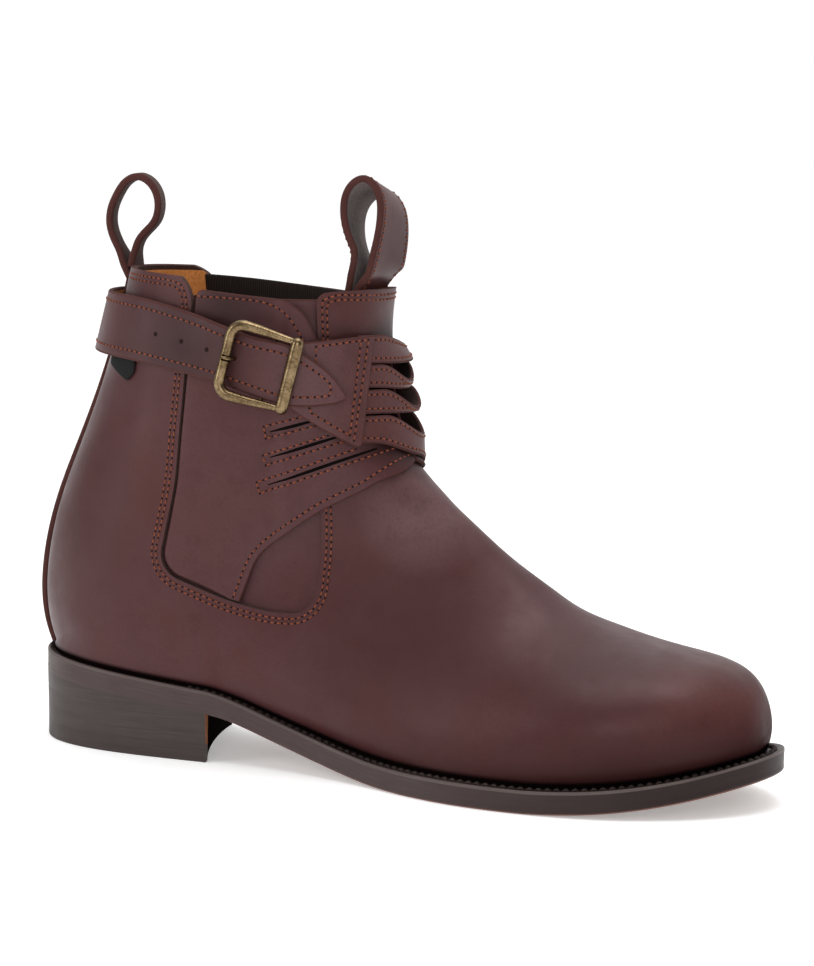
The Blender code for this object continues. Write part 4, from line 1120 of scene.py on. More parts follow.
# Pieces on the shaft
GUSSETS = {
    "gusset_outer": {"side": "outer", "back": 68.0, "middle": 64.0, "top_back": 178.4, "top_front": 178.4},
    "gore_inner": {"side": "inner", "back": 51.5, "middle": 58.0, "top_back": 183.4, "top_front": 177.0},
}
GUSSET_MARGIN = 8.0
GUSSET_MIDDLE_Z = 110.0
GUSSET_CORNER = 16.0
GUSSET_SPACING = 2.4


def build_gusset(node, slot, finishes):
    """The piece behind a cut-out, reaching under the wall all round."""
    at = GUSSETS[node]
    outline = (
        (at["back"], at["top_back"], 0),
        (at["middle"], GUSSET_MIDDLE_Z, 0),
        (CUT_OUT_BACK - GUSSET_MARGIN - 1.0, CUT_OUT_LOW + GUSSET_MARGIN, GUSSET_CORNER),
        (92.0, CUT_OUT_LOW - 0.6 * GUSSET_MARGIN, 0),
        (CUT_OUT_FRONT + GUSSET_MARGIN, CUT_OUT_LOW - GUSSET_MARGIN, GUSSET_CORNER),
        (CUT_OUT_FRONT + GUSSET_MARGIN, 97.0, 0),
        (CUT_OUT_FRONT + 0.4 * GUSSET_MARGIN, at["top_front"], 0),
    )
    deep = -WALL - GAP
    line = wrapped(filleted(outline), at["side"], deep)
    piece = sheet(node + "_panel", line, steady(deep - LEATHER), steady(deep), finishes, GUSSET_SPACING)
    return dress(piece, slot, node)


FLAP_RAMP = (109.0, 118.0)
FLAP_DEEP = -2.0
FLAP_PROUD = 0.4
FLAP_MARGIN = 0.6
FLAP_SPACING = 1.3

# Outlines of the pieces: x, z and radius of each corner, seen from the side
FLAP_OUTLINE = (
    (79.2, 181.0, 3),
    (75.4 + FLAP_MARGIN, 147.0, 60),
    (72.7 + FLAP_MARGIN, 108.0, 90),
    (CUT_OUT_BACK - 0.5 + FLAP_MARGIN, 74.4, 9),
    (93.2, 63.6 + FLAP_MARGIN, 0),
    (97.6, 62.8 + FLAP_MARGIN, 0),
    (104.0, 81.2, 20),
    (116.0, 91.0, 60),
    (128.2, 100.0, 60),
    (144.0, 108.6, 40),
    (154.5, 117.0, 0),
    (150.0, 126.0, 0),
    (146.0, 157.0, 0),
    (126.6, 161.5, 0),
    (119.8, 178.0, 14),
)

# Slits in the flap: x and z of the closed end and of the front end
SLITS = (
    ((109.8, 128.8), (125.0, 133.6)),
    ((109.9, 119.2), (133.6, 127.9)),
    ((109.0, 108.7), (144.4, 122.8)),
)
SLIT_TROUGH = 0.6
SLIT_WIDTH = 2.4
SLIT_OPENING = (0.1, 0.62)
SLIT_SWELL = (0.04, 0.84)
SLIT_RISES = ((-1, 0.1), (0, 0.16), (1, 0.1))
SLIT_DEPTH = 0.3


def line_distance(line, start, end):
    """Distance in the plane of a side view from points to a straight line."""
    along = end - start
    share = np.clip((line - start) @ along / (along @ along), 0, 1)
    return np.linalg.norm(line - start - share[:, None] * along, axis=1)


def flap_lift(line):
    """Height of a flap's lower face: deep in the cut-out, then over the upper in front of it."""
    low, high = FLAP_RAMP
    x = on_shaft(line[:, 0], line[:, 1])[:, 0]
    return FLAP_DEEP + (FLAP_PROUD - FLAP_DEEP) * smoothstep((x - low) / (high - low))


def flap_face(line):
    """Height of a flap's outer face, with a soft trough along each slit."""
    seen = on_shaft(line[:, 0], line[:, 1])[:, (0, 2)]
    lift = flap_lift(line) + LEATHER
    for start, end in SLITS:
        away = line_distance(seen, np.array(start), np.array(end))
        lift = lift - SLIT_TROUGH * np.exp(-((away / SLIT_WIDTH) ** 2))
    return lift


def build_flap(node, side):
    line = wrapped(filleted(FLAP_OUTLINE), side)
    piece = sheet(node + "_leather", line, flap_lift, flap_face, PANEL_SHEET, FLAP_SPACING)
    return dress(piece, "oiled_leather", node)


PATCH_LIFT = 4.6
SMALL_STEPS = 3
PATCH_OUTLINE = (
    (117.6, 139.6, 0.8),
    (120.5, 162.6, 0.8),
    (142.8, 165.8, 0.8),
    (142.4, 124.4, 0.8),
    (140.6, 124.4, 0.8),
)


def build_patch():
    line = wrapped(filleted(PATCH_OUTLINE, SMALL_STEPS), "outer", PATCH_LIFT)
    piece = sheet("patch_leather", line, steady(PATCH_LIFT), steady(PATCH_LIFT + LEATHER), TRIM_SHEET)
    return dress(piece, "strap_leather", "buckle_patch")


TAG_OUTLINE = ((37.0, 160.0, 0), (37.0, 149.8, 1), (48.4, 144.4, 1), (52.0, 148.0, 1), (52.0, 160.0, 0))
TAG_THICK = 0.9
TAG_SPACING = 1.2
TAG_SOFT = 0.3


def build_tag():
    line = wrapped(filleted(TAG_OUTLINE, SMALL_STEPS), "outer", GAP)
    piece = sheet("tag_cloth", line, steady(GAP), steady(GAP + TAG_THICK), [TAG_CLOTH], TAG_SPACING, TAG_SOFT)
    return dress(piece, "black_cloth", "side_tab")


BACK_STRIP_ROWS = (0.35, 8.9)
BACK_STRIP_STATIONS = 120
BACK_STRIP_ROUNDING = 0.8
BACK_STRIP_TUCK = 2.4
BACK_STRIP_RISE = 0.9


def build_back_strip():
    rows = np.linspace(*BACK_STRIP_ROWS, BACK_STRIP_STATIONS)
    line = np.array([section(row, (1.0,))[0] for row in rows])
    down = np.gradient(line, axis=0)
    outwards = unit(np.cross((0.0, 1.0, 0.0), down))
    spine = line + outwards * (GAP + BACK_STRIP_THICK / 2)
    across = np.tile((0.0, -BACK_STRIP_WIDTH / 2, 0.0), (len(rows), 1))
    spine[-1] += unit(spine[-1] - spine[-2]) * BACK_STRIP_TUCK
    spine[0] += unit(spine[0] - spine[1]) * BACK_STRIP_RISE
    piece = strip("seam_strip", spine, across, BACK_STRIP_THICK / 2, TRIM_SHEET, BACK_STRIP_ROUNDING)
    return dress(piece, "oiled_leather", "back_strip")


# Bands round the front of the ankle: for each edge its height at the ends, how far it droops on the outer
# side of the front and on the inner side, and how far it stands off in front
BAND_COLUMNS = (
    "top", "bottom", "top_outer", "top_inner", "bottom_outer", "bottom_inner", "top_off", "bottom_off",
)
BANDS = (
    (165.4, 154.9, 3.0, 5.0, 0.7, 0.3, 0.5, 4.2),
    (154.4, 145.9, 6.6, 0.4, 1.5, 1.0, 4.0, 2.0),
    (145.1, 136.2, 7.6, 1.0, 0.7, 1.0, 6.0, 3.0),
    (135.5, 125.4, 8.0, 0.8, 6.0, 16.0, 4.8, 0.0),
)
BAND_LIFT = 2.3
BAND_FROM = -20.0
BAND_TO = 56.0
BAND_FREE = (-16.0, 54.0)
BAND_OUTER = {"top": (-10.0, 27.0), "bottom": (-16.0, 26.0)}
BAND_INNER = (2.0, 54.0)
BAND_SEAM_INSET = 1.9
BAND_STATIONS = 70


def bulge(angles, low, high):
    """1 half-way between two angles, falling softly to 0 at both."""
    return np.sin(np.pi * np.clip((angles - low) / (high - low), 0, 1)) ** 2


def band_edge(row, name, angles):
    """Points of a band's edge at angles round the shaft."""
    at = dict(zip(BAND_COLUMNS, row))
    droop = at[name + "_outer"] * bulge(angles, *BAND_OUTER[name])
    droop += at[name + "_inner"] * bulge(angles, *BAND_INNER)
    off = at[name + "_off"] * bulge(angles, *BAND_FREE)
    return off_shaft(angles, at[name] - droop, BAND_LIFT + LEATHER / 2 + off)


def build_bands():
    for number, row in enumerate(BANDS, 1):
        angles = np.linspace(BAND_FROM, BAND_TO, BAND_STATIONS)
        tops, bottoms = (band_edge(row, name, angles) for name in ("top", "bottom"))
        spine, across = (tops + bottoms) / 2, (tops - bottoms) / 2
        piece = strip(f"band_{number}", spine, across, LEATHER / 2, TRIM_SHEET)
        dress(piece, "strap_leather", f"front_band_{number}")
        sew_strip(spine, across, LEATHER / 2, BAND_SEAM_INSET)


# Strap: angle round the shaft from the tip, its two edges and how far its inner face stands off
STRAP_COLUMNS = ("angle", "top", "bottom", "lift")
STRAP = (
    (26.2, 143.2, 142.2, 6.6),
    (28.7, 147.6, 140.9, 6.6),
    (31.7, 151.4, 140.2, 6.6),
    (36.7, 155.8, 139.6, 6.6),
    (42.4, 159.4, 139.4, 6.6),
    (48.0, 162.0, 139.6, 6.6),
    (60.0, 164.2, 142.2, 6.3),
    (72.0, 166.6, 144.8, 5.6),
    (85.0, 169.2, 147.1, 4.2),
    (98.0, 171.6, 148.7, 3.0),
    (110.0, 173.5, 150.0, 2.4),
    (122.0, 175.2, 151.3, 2.2),
    (136.0, 176.8, 152.8, 2.8),
    (158.0, 177.8, 154.2, 4.2),
    (180.0, 178.2, 155.0, 4.8),
    (202.0, 177.8, 154.6, 4.2),
    (225.0, 177.0, 153.8, 2.6),
    (250.0, 175.6, 152.4, 1.6),
    (275.0, 173.8, 150.6, 1.6),
    (298.0, 171.8, 148.6, 2.4),
)
STRAP_CURVES = {
    name: natural_spline(column(STRAP, STRAP_COLUMNS, "angle"), column(STRAP, STRAP_COLUMNS, name))
    for name in STRAP_COLUMNS[1:]
}
STRAP_SEAM_INSET = 3.6
STRAP_SEAM_FROM = 31.0
STRAP_HOLES = (90.5, 107.5, 123.5)
STRAP_HOLE_RADIUS = 1.0
STRAP_STATIONS = 230
STRAP_CROWDING = 1.25
STRAP_ROUNDING = 0.75
STRAP_WIDTHS = 13


def strap_point(angles, share):
    """Points of the strap's middle surface; share runs from its bottom edge to its top edge."""
    angles = np.asarray(angles, float)
    lift = STRAP_CURVES["lift"](angles) + STRAP_THICK / 2
    top = off_shaft(-angles, STRAP_CURVES["top"](angles), lift)
    bottom = off_shaft(-angles, STRAP_CURVES["bottom"](angles), lift)
    return bottom + (top - bottom) * share


def build_strap():
    start, end = STRAP[0][0], STRAP[-1][0]
    angles = start + (end - start) * np.linspace(0, 1, STRAP_STATIONS) ** STRAP_CROWDING
    tops, bottoms = strap_point(angles, 1.0), strap_point(angles, 0.0)
    spine, across = (tops + bottoms) / 2, (bottoms - tops) / 2
    half = STRAP_THICK / 2
    piece = strip("ankle_strap", spine, across, half, LINED_SHEET, STRAP_ROUNDING, STRAP_WIDTHS)
    dress(piece, "strap_leather", "strap")
    sewn = angles >= STRAP_SEAM_FROM
    sew_strip(spine[sewn], across[sewn], half, STRAP_SEAM_INSET, joined=True)
    for angle in STRAP_HOLES:
        around = strap_point([angle - 1, angle, angle + 1], 0.5)
        out = unit(np.cross(strap_point([angle], 1.0)[0] - around[1], around[2] - around[0]))
        holes.append((around[1] + out * half, out, STRAP_HOLE_RADIUS))


# Seams: threads and needle holes are gathered here and made into joined meshes at the end
STITCH_PITCH = 2.65
STITCH = {"length": 1.6, "width": 0.62, "rise": 0.24}
NEEDLE_RADIUS = 0.5
SEAM_STARTS = 0.05
THREAD_STATIONS = np.linspace(-1, 1, 6)
THREAD_TURNS = np.linspace(0, 2 * math.pi, 6, endpoint=False)
THREAD_TAPER = 0.86
THREAD_DIP = 1.6
THREAD_FLATNESS = 0.8
HOLE_TURNS = np.linspace(0, 2 * math.pi, 8, endpoint=False)
HOLE_RINGS = ((1.0, -0.12), (0.94, 0.03), (0.5, 0.05))
SLANT = (0.31, 0.52, 0.79)
threads = []
holes = []


def sew(points, normals):
    """A seam along a line of points on a surface."""
    run = run_length(points)
    count = max(1, int(round(run[-1] / STITCH_PITCH)))
    ends = np.linspace(0, run[-1], count + 1)
    spots = along_run(points, run, ends)
    ways = unit(along_run(normals, run, ends))
    for a, b, out_a, out_b in zip(spots[:-1], spots[1:], ways[:-1], ways[1:]):
        threads.append(((a + b) / 2, b - a, out_a + out_b))
    holes.extend((spot, way, NEEDLE_RADIUS) for spot, way in zip(spots, ways))


def sew_shaft(line, lift):
    """A seam along a line of angles and heights; lift is a function of the line."""
    sew(lifted(line, lift(line)), shaft_normal(line[:, 0], line[:, 1]))


def sew_strip(spine, across, thick, inset, joined=False):
    """A seam along both edges of a band, at a distance from the edge; joined runs round the first end."""
    reach = np.linalg.norm(across, axis=1)
    side = across / reach[:, None]
    outwards = unit(np.cross(np.gradient(spine, axis=0), side))
    offset = np.maximum(reach - inset, 0.0)[:, None]
    first, second = (spine + side * offset * way + outwards * thick for way in (1, -1))
    if joined:
        wide = np.flatnonzero(offset[:, 0] > SEAM_STARTS)[0]
        ways = np.concatenate([outwards[wide:][::-1], outwards[wide:]])
        sew(np.concatenate([first[wide:][::-1], second[wide:]]), ways)
    else:
        sew(first, outwards)
        sew(second, outwards)


def frames(directions, normals):
    """Unit directions along, aside and out for each of many small things."""
    along = unit(np.asarray(directions, float))
    aside = unit(np.cross(np.asarray(normals, float), along))
    return along, aside, np.cross(along, aside)


def rings_round(middles, first, second, radii, turns):
    """A ring of points round each of many middles, in the plane of two directions."""
    ways = [first * math.cos(turn) + second * math.sin(turn) for turn in turns]
    return np.stack([middles + way * radii for way in ways], 1)


def build_many(name, finish, slot, rings):
    """Many small closed things as one mesh, from the rings of each."""
    shape = Shape()
    for thing in shape.add(np.stack(rings, 1)):
        shape.closed(thing)
    return dress(shape.build(name, [finish], SMALL_SHARP), slot)


def build_threads(name, finish, slot, items, length, width, rise):
    """All threads of a kind: little arched rolls."""
    centres, directions, normals = (np.array(part) for part in zip(*items))
    half = np.minimum(length, np.linalg.norm(directions, axis=1))[:, None] / 2
    along, aside, out = frames(directions, normals)
    rings = []
    for place in THREAD_STATIONS:
        middles = centres + along * half * place + out * (rise * (1 - THREAD_DIP * place**2))
        radius = width / 2 * math.sqrt(1 - (THREAD_TAPER * place) ** 2)
        rings.append(rings_round(middles, aside, out * THREAD_FLATNESS, radius, THREAD_TURNS))
    return build_many(name, finish, slot, rings)


def build_holes(name, finish, slot):
    """All needle and buckle holes: flat dark dimples, painted shade for the inside of each hole."""
    places, normals, radii = (np.array(part) for part in zip(*holes))
    along, aside, out = frames(np.cross(normals, SLANT), normals)
    rings = [
        rings_round(places + out * height, along, aside, radii[:, None] * size, HOLE_TURNS)
        for size, height in HOLE_RINGS
    ]
    return build_many(name, finish, slot, rings)


# Seam lines on the outer and the inner side, as x and z seen from that side
EDGE_SEAMS = (2.0, 3.8)
FLAP_EDGE = (
    (97.9, 64.2), (102.1, 76.0), (104.5, 80.5), (108.3, 84.7), (118.0, 92.5), (128.2, 99.9), (135.5, 104.0),
    (143.6, 108.5), (150.3, 113.9), (153.7, 117.0),
)
FLAP_EDGE_SEAM = 3.0
FLAP_TOP = ((79.0, 180.6), (98.1, 180.2), (110.0, 178.6), (117.0, 174.6), (121.0, 168.6), (123.5, 163.5))
FLAP_TOP_SEAM = 2.3
SEAM_STEP = 1.5
SHORT_STEP = 1.0
COLLAR_BACK = {"x": 38.5, "clear": 6.0, "points": 8}
COLLAR_FRONT = {"x": 141.4, "clear": 3.0, "points": 6}
COLLAR_DROP = 0.2
ROUND_FRONT_POINTS = 16
FLAP_TOP_POINTS = 40
EDGE_SEAM_PART = slice(3, -1)
HAIRPIN_ENDS = (
    ((107.6, 130.8), (108.4, 126.3)),
    ((107.3, 119.9), (108.4, 116.2)),
    ((104.9, 109.6), (106.0, 105.4)),
)
HAIRPIN_REACH = ((0.95, 1.13), (0.95, 1.13), (0.95, 1.22))
PATCH_SEAMS = (
    ((128.1, 155.0), (128.1, 161.6), (142.6, 164.0), (140.7, 126.8)),
    ((140.8, 163.6), (139.4, 128.8), (127.2, 136.9), (125.4, 140.8)),
)


def collar_height(x):
    """Height of the collar's edge in a side view."""
    first = dict(zip(SECTION_COLUMNS, SECTIONS[0]))
    share = (x - first["base_x"]) / (first["top_x"] - first["base_x"])
    return first["base_z"] + (first["top_z"] - first["base_z"]) * share


def edge_line(side):
    """The edge of a cut-out from the back of the collar, round below, to the front of the collar."""
    outline = cut_outline(side)
    path = outline[outline[:, 1] < collar_height(outline[:, 0]) - COLLAR_DROP]
    back = np.linspace(COLLAR_BACK["x"], path[0][0] - COLLAR_BACK["clear"], COLLAR_BACK["points"])
    front = np.linspace(path[-1][0] + COLLAR_FRONT["clear"], COLLAR_FRONT["x"], COLLAR_FRONT["points"])
    path = np.concatenate([
        np.column_stack([back, collar_height(back)]), path, np.column_stack([front, collar_height(front)]),
    ])
    line = wrapped(resampled(path, SEAM_STEP), side)
    round_front = np.linspace(line[-1, 0], 0.0, ROUND_FRONT_POINTS)[1:]
    reach = off_shaft(round_front, line[-1, 1], 0.0)[:, 0]
    return np.concatenate([line, np.column_stack([round_front, collar_height(reach)])])


def sew_side(side):
    away = -1 if side == "outer" else 1
    edge = edge_line(side)
    for distance in EDGE_SEAMS:
        sew_shaft(beside(edge, away * distance)[EDGE_SEAM_PART], steady(0.0))
    free = wrapped(resampled(np.array(FLAP_EDGE), SEAM_STEP), side)
    sew_shaft(beside(free, -away * FLAP_EDGE_SEAM), flap_face)
    top = wrapped(curve_through(FLAP_TOP, FLAP_TOP_POINTS), side)
    sew_shaft(beside(top, away * FLAP_TOP_SEAM), flap_face)
    for (start, end), (upper, lower), (above, below) in zip(SLITS, HAIRPIN_ENDS, HAIRPIN_REACH):
        way = np.array(end) - np.array(start)
        pin = np.array([np.array(upper) + way * above, upper, lower, np.array(lower) + way * below])
        for ends in zip(pin[:-1], pin[1:]):
            sew_shaft(wrapped(resampled(np.array(ends), SHORT_STEP), side), flap_face)


def sew_patch():
    lift = PATCH_LIFT + LEATHER
    for corners in PATCH_SEAMS:
        for ends in zip(corners[:-1], corners[1:]):
            sew_shaft(wrapped(resampled(np.array(ends), SEAM_STEP), "outer", lift), steady(lift))


def build_slits():
    """Painted shade in the openings of the slits in both flaps: dark slivers in the troughs."""
    shape = Shape()
    low, high = SLIT_OPENING
    for side in SIDES:
        for ends in SLITS:
            line = wrapped(resampled(np.array(ends), SHORT_STEP), side)
            share = np.linspace(*SLIT_SWELL, len(line))
            half = low + (high - low) * np.sin(np.pi * share)
            face = flap_face(line)
            rows = [lifted(beside(line, way * half), face + rise) for way, rise in SLIT_RISES]
            numbers = shape.add(np.stack(rows, 1))
            under = shape.add(lifted(line, face - SLIT_DEPTH))
            shape.quads(numbers)
            for a, b in ((numbers[:, 0], under), (under, numbers[:, 2])):
                shape.quads(np.stack([a, b], 1))
            for row in (0, -1):
                shape.face((*numbers[row], under[row]))
    return dress(shape.build("flap_slit_shade", [DEEP_SHADE_BLACK], SMALL_SHARP), "oiled_leather")


# Buckle: a frame of its own, from the middle of its left bar to the middle of its keeper
BUCKLE_ANGLES = (76.8, 46.8)
BUCKLE_HEIGHTS = (157.0, 151.0)
BUCKLE_HALF = 13.4
BUCKLE_CORNER = 5.0
BAR_RADIUS = 2.1
ARM_END_RADIUS = 1.1
KEEPER_HALF = 14.6
KEEPER_RADIUS = 2.5
KEEPER_SINKS_TO = 0.8
CENTRE_BAR_RADIUS = 0.95
CENTRE_BAR_AT = 15.5
CENTRE_BAR_DEPTH = 6.1
CENTRE_BAR_BENDS_AT = 0.7
CENTRE_BAR_BEND = 0.9
CENTRE_BAR_SIDES = 12
PRONG_RADIUS = 0.9
PRONG_SIDES = 14
NOTCH_SIDES = 16
BAR_SIDES = 24
BAR_STEPS = 14
ARMS_FROM = 0.3
ARMS_CLOSE = 0.6
KEEPER_STEPS = 25
KEEPER_BLUNT = {"power": 14, "least": 0.25}
PRONG_STEPS = 40
PRONG_BLUNT = {"power": 12, "least": 0.3}
BUCKLE_SHARP = 60.0

# Way of the prong from the centre bar over the left bar: distance along the buckle and outwards
PRONG_PATH = ((14.0, -6.0), (8.0, -6.2), (5.2, -5.8), (3.5, -3.7), (2.4, -0.9), (1.1, 1.3), (-0.8, 2.2))


def buckle_axes():
    """Middle of the left bar, then the directions along the strap, across it and outwards, and the length."""
    ends = []
    for angle, z, radius in zip(BUCKLE_ANGLES, BUCKLE_HEIGHTS, (BAR_RADIUS, KEEPER_SINKS_TO * KEEPER_RADIUS)):
        lift = float(STRAP_CURVES["lift"](angle)) + STRAP_THICK + 3 * GAP + radius
        ends.append(off_shaft(-angle, z, lift))
    along = ends[1] - ends[0]
    length = np.linalg.norm(along)
    along /= length
    out = unit(np.array([along[1], -along[0], 0.0]))
    if out[1] > 0:
        out = -out
    across = np.cross(out, along)
    if across[2] < 0:
        across = -across
    return ends[0], along, across, out, length


BUCKLE_MIDDLE, BUCKLE_ALONG, BUCKLE_ACROSS, BUCKLE_OUT, BUCKLE_LENGTH = buckle_axes()


def in_buckle(u, v, w):
    return BUCKLE_MIDDLE + BUCKLE_ALONG * u + BUCKLE_ACROSS * v + BUCKLE_OUT * w


def bar_object(name, path, radii, sides=BAR_SIDES):
    """A round brass bar along a path with a radius for each point, closed at both ends."""
    path = np.array(path)
    turns = np.linspace(0, 2 * math.pi, sides, endpoint=False)[:, None]
    side = BUCKLE_OUT
    rings = []
    for place, way, radius in zip(path, unit(np.gradient(path, axis=0)), np.broadcast_to(radii, len(path))):
        side = unit(side - way * (side @ way))
        third = np.cross(way, side)
        rings.append(place + radius * (side * np.cos(turns) + third * np.sin(turns)))
    shape = Shape()
    shape.closed(shape.add(rings))
    return shape.build(name, [BRASS], BUCKLE_SHARP)


def blunt(shares, power, least):
    """Size along a bar with blunt ends, where shares reach 1 or -1."""
    return np.clip((1 - np.abs(shares) ** power) ** 0.5, least, 1)


def frame_path():
    """The buckle's bent bar, from the end of its upper arm round the left to the end of the lower."""
    corner, half = BUCKLE_CORNER, BUCKLE_HALF
    turns = np.radians(np.linspace(90, 180, BAR_STEPS))
    bend = [(corner + corner * math.cos(t), half - corner + corner * math.sin(t)) for t in turns]
    arm = [
        (BUCKLE_LENGTH * share, half - ARMS_CLOSE * smoothstep((share - ARMS_FROM) / (1 - ARMS_FROM)))
        for share in np.linspace(1, ARMS_FROM, BAR_STEPS)
    ]
    bar = [(0.0, v) for v in np.linspace(half - corner, corner - half, BAR_STEPS)[1:-1]]
    return arm + bend + bar + [(u, -v) for u, v in reversed(arm + bend)]


def build_buckle():
    path = frame_path()
    radii = np.interp([u for u, v in path], (BUCKLE_CORNER, BUCKLE_LENGTH), (BAR_RADIUS, ARM_END_RADIUS))
    buckle = bar_object("buckle", [in_buckle(u, v, 0) for u, v in path], radii)
    ends = np.sin(np.linspace(-math.pi / 2, math.pi / 2, KEEPER_STEPS))
    line = [in_buckle(BUCKLE_LENGTH, KEEPER_HALF * end, 0) for end in ends]
    keeper = bar_object("keeper", line, KEEPER_RADIUS * blunt(ends, **KEEPER_BLUNT))
    half, depth = BUCKLE_HALF, CENTRE_BAR_DEPTH
    drop = [(half, 0.0), (half, -CENTRE_BAR_BENDS_AT * depth), (half - CENTRE_BAR_BEND, -depth)]
    line = [in_buckle(CENTRE_BAR_AT, v, w) for v, w in drop + [(-v, w) for v, w in reversed(drop)]]
    centre_bar = bar_object("centre_bar", line, CENTRE_BAR_RADIUS, CENTRE_BAR_SIDES)
    line = [in_buckle(u, 0, w) for u, w in PRONG_PATH]
    notch = bar_object("notch", line, PRONG_RADIUS + GAP, NOTCH_SIDES)
    cut(buckle, keeper, "UNION", BUCKLE_SHARP)
    cut(buckle, centre_bar, "UNION", BUCKLE_SHARP)
    cut(buckle, notch, "DIFFERENCE", BUCKLE_SHARP)
    dress(buckle, "antique_brass", "buckle_frame")
    line = [in_buckle(u, 0, w) for u, w in curve_through(PRONG_PATH, PRONG_STEPS)]
    sizes = PRONG_RADIUS * blunt(np.linspace(0, 1, PRONG_STEPS), **PRONG_BLUNT)
    prong = bar_object("prong", line, sizes, PRONG_SIDES)
    return dress(prong, "antique_brass", "buckle_prong")


# Pull loops: x and z of places on the middle line of each loop, from one leg over the top to the other leg
FRONT_LOOP = (
    (129.8, 171.0), (131.0, 182.0), (131.8, 190.0), (128.6, 199.0), (126.8, 208.0), (129.4, 217.0),
    (135.6, 220.4), (141.2, 216.6), (143.4, 208.0), (142.4, 197.5), (139.4, 188.5), (134.8, 182.0),
    (133.8, 171.0),
)
BACK_LOOP = (
    (33.9, 186.6), (33.9, 189.2), (34.3, 192.2), (35.8, 196.6), (39.2, 200.6), (42.6, 204.2), (44.3, 209.6),
    (43.4, 215.2), (40.0, 219.6), (35.2, 221.4), (30.0, 219.4), (26.2, 214.6), (23.6, 209.0), (23.0, 203.6),
    (24.4, 198.3), (27.7, 192.4), (30.1, 188.1), (31.6, 185.2), (33.0, 182.7),
)
FRONT_LOOP_TURNS = ((0.0, 0.0, 0.0), (-6.0, 14.0, 18.0))
BACK_LOOP_TURNS = ((14.0, 0.0, 0.0), (22.0, 0.0, 0.0))
LOOP_TURNS_FROM = 186.5
LOOP_TURNS_OVER = 8.0
LOOP_SEAM_INSET = 2.2
LOOP_STATIONS = 150
LOOP_ROUNDING = 0.7


def build_loop(node, places, width, turns, finishes, sewn):
    """A loop of flat leather.

    turns gives its twist about the upright, its lean and the first leg's own twist, at the collar and above.
    """
    line = curve_through(places, LOOP_STATIONS)
    share = smoothstep((line[:, 1] - LOOP_TURNS_FROM) / LOOP_TURNS_OVER)
    twist, lean, opening = (np.radians(base + (end - base) * share) for base, end in zip(*turns))
    twist = twist + opening * smoothstep(np.linspace(1, 0, len(line)))
    flat = np.cos(lean)
    across = np.stack([-np.sin(twist) * flat, np.cos(twist) * flat, -np.sin(lean)], 1) * width / 2
    spine = np.column_stack([line[:, 0], np.zeros(len(line)), line[:, 1]])
    outwards = np.cross(np.gradient(spine, axis=0), unit(across))[:, (0, 2)]
    if ((line - line.mean(0)) * outwards).sum() <= 0:
        across = -across
    piece = strip(node + "_leather", spine, across, LOOP_THICK / 2, finishes, LOOP_ROUNDING)
    if sewn:
        sew_strip(spine, across, LOOP_THICK / 2, LOOP_SEAM_INSET)
    return dress(piece, "strap_leather", node)


# Sole
SOLE_STATIONS = 480
SOLE_UNDER_INSET = WELT_UNDER + 14.0
EDGE_INSET = 0.08
EDGE_ROUNDS_OVER = 10.0
EDGE_ROUNDS_WITHIN = 2.0

# Edges of outsole and welt from below: the inset from the sole's plan and the height
OUTSOLE_EDGE = (
    (SOLE_UNDER_INSET, 0.0), (9.0, 0.0), (2.0, 0.0), (1.0, 0.05), (0.45, 0.3), (0.12, 0.7), (0.0, 1.2),
    (EDGE_INSET, 2.0), (0.12, 3.0), (0.1, 4.0), (EDGE_INSET, 4.8), (EDGE_INSET, 5.2), (EDGE_INSET, 5.4),
    (9.0, 5.4), (SOLE_UNDER_INSET, 5.4),
)
WELT_EDGE = (
    (1.2, -0.14), (EDGE_INSET, -0.14), (EDGE_INSET, 0.2), (EDGE_INSET, 1.0), (0.0, 2.0), (0.1, 2.7),
    (0.5, 3.1), (1.1, 3.2), (1.7, 3.1), (2.2, 2.8),
)

# Finishes of outsole and welt, and which of them each strip between two places of the edge has
OUTSOLE_FINISHES = [SOLE_EDGE, SOLE_UNDER, SOLE_RIM]
OUTSOLE_KINDS = [1] * 3 + [2] * 2 + [0] * 9
WELT_FINISHES = [WELT_FINISH, SOLE_EDGE, WELT_RIM_HIGHLIGHT]
# Kind 2 of the welt is the painted highlight on its rounded upper edge
WELT_KINDS = [1] * 4 + [2] * 2 + [1] + [0] * 7
WELT_GROOVE = 2.55
WELT_GROOVE_RISE = 0.1
WELT_GROOVE_SHARE = 0.5
WELT_GROOVE_LEAST = 2.5


def sole_ring(loop, inset, lift):
    plan = inset_loop(loop, inset)
    return np.column_stack([plan, underside(plan[:, 0]) + lift])


def loop_run(loop):
    return run_length(np.concatenate([loop, loop[:1]]))[:-1]


def edge_flat(loop, rings):
    """Texture places of rings round the sole: the way round, and the mean way from ring to ring."""
    run = loop_run(loop)
    heights = np.cumsum([0.0] + [
        np.linalg.norm(b - a, axis=1).mean() for a, b in zip(rings[:-1], rings[1:])
    ])
    return [np.column_stack([run, np.full(len(run), height)]) for height in heights]


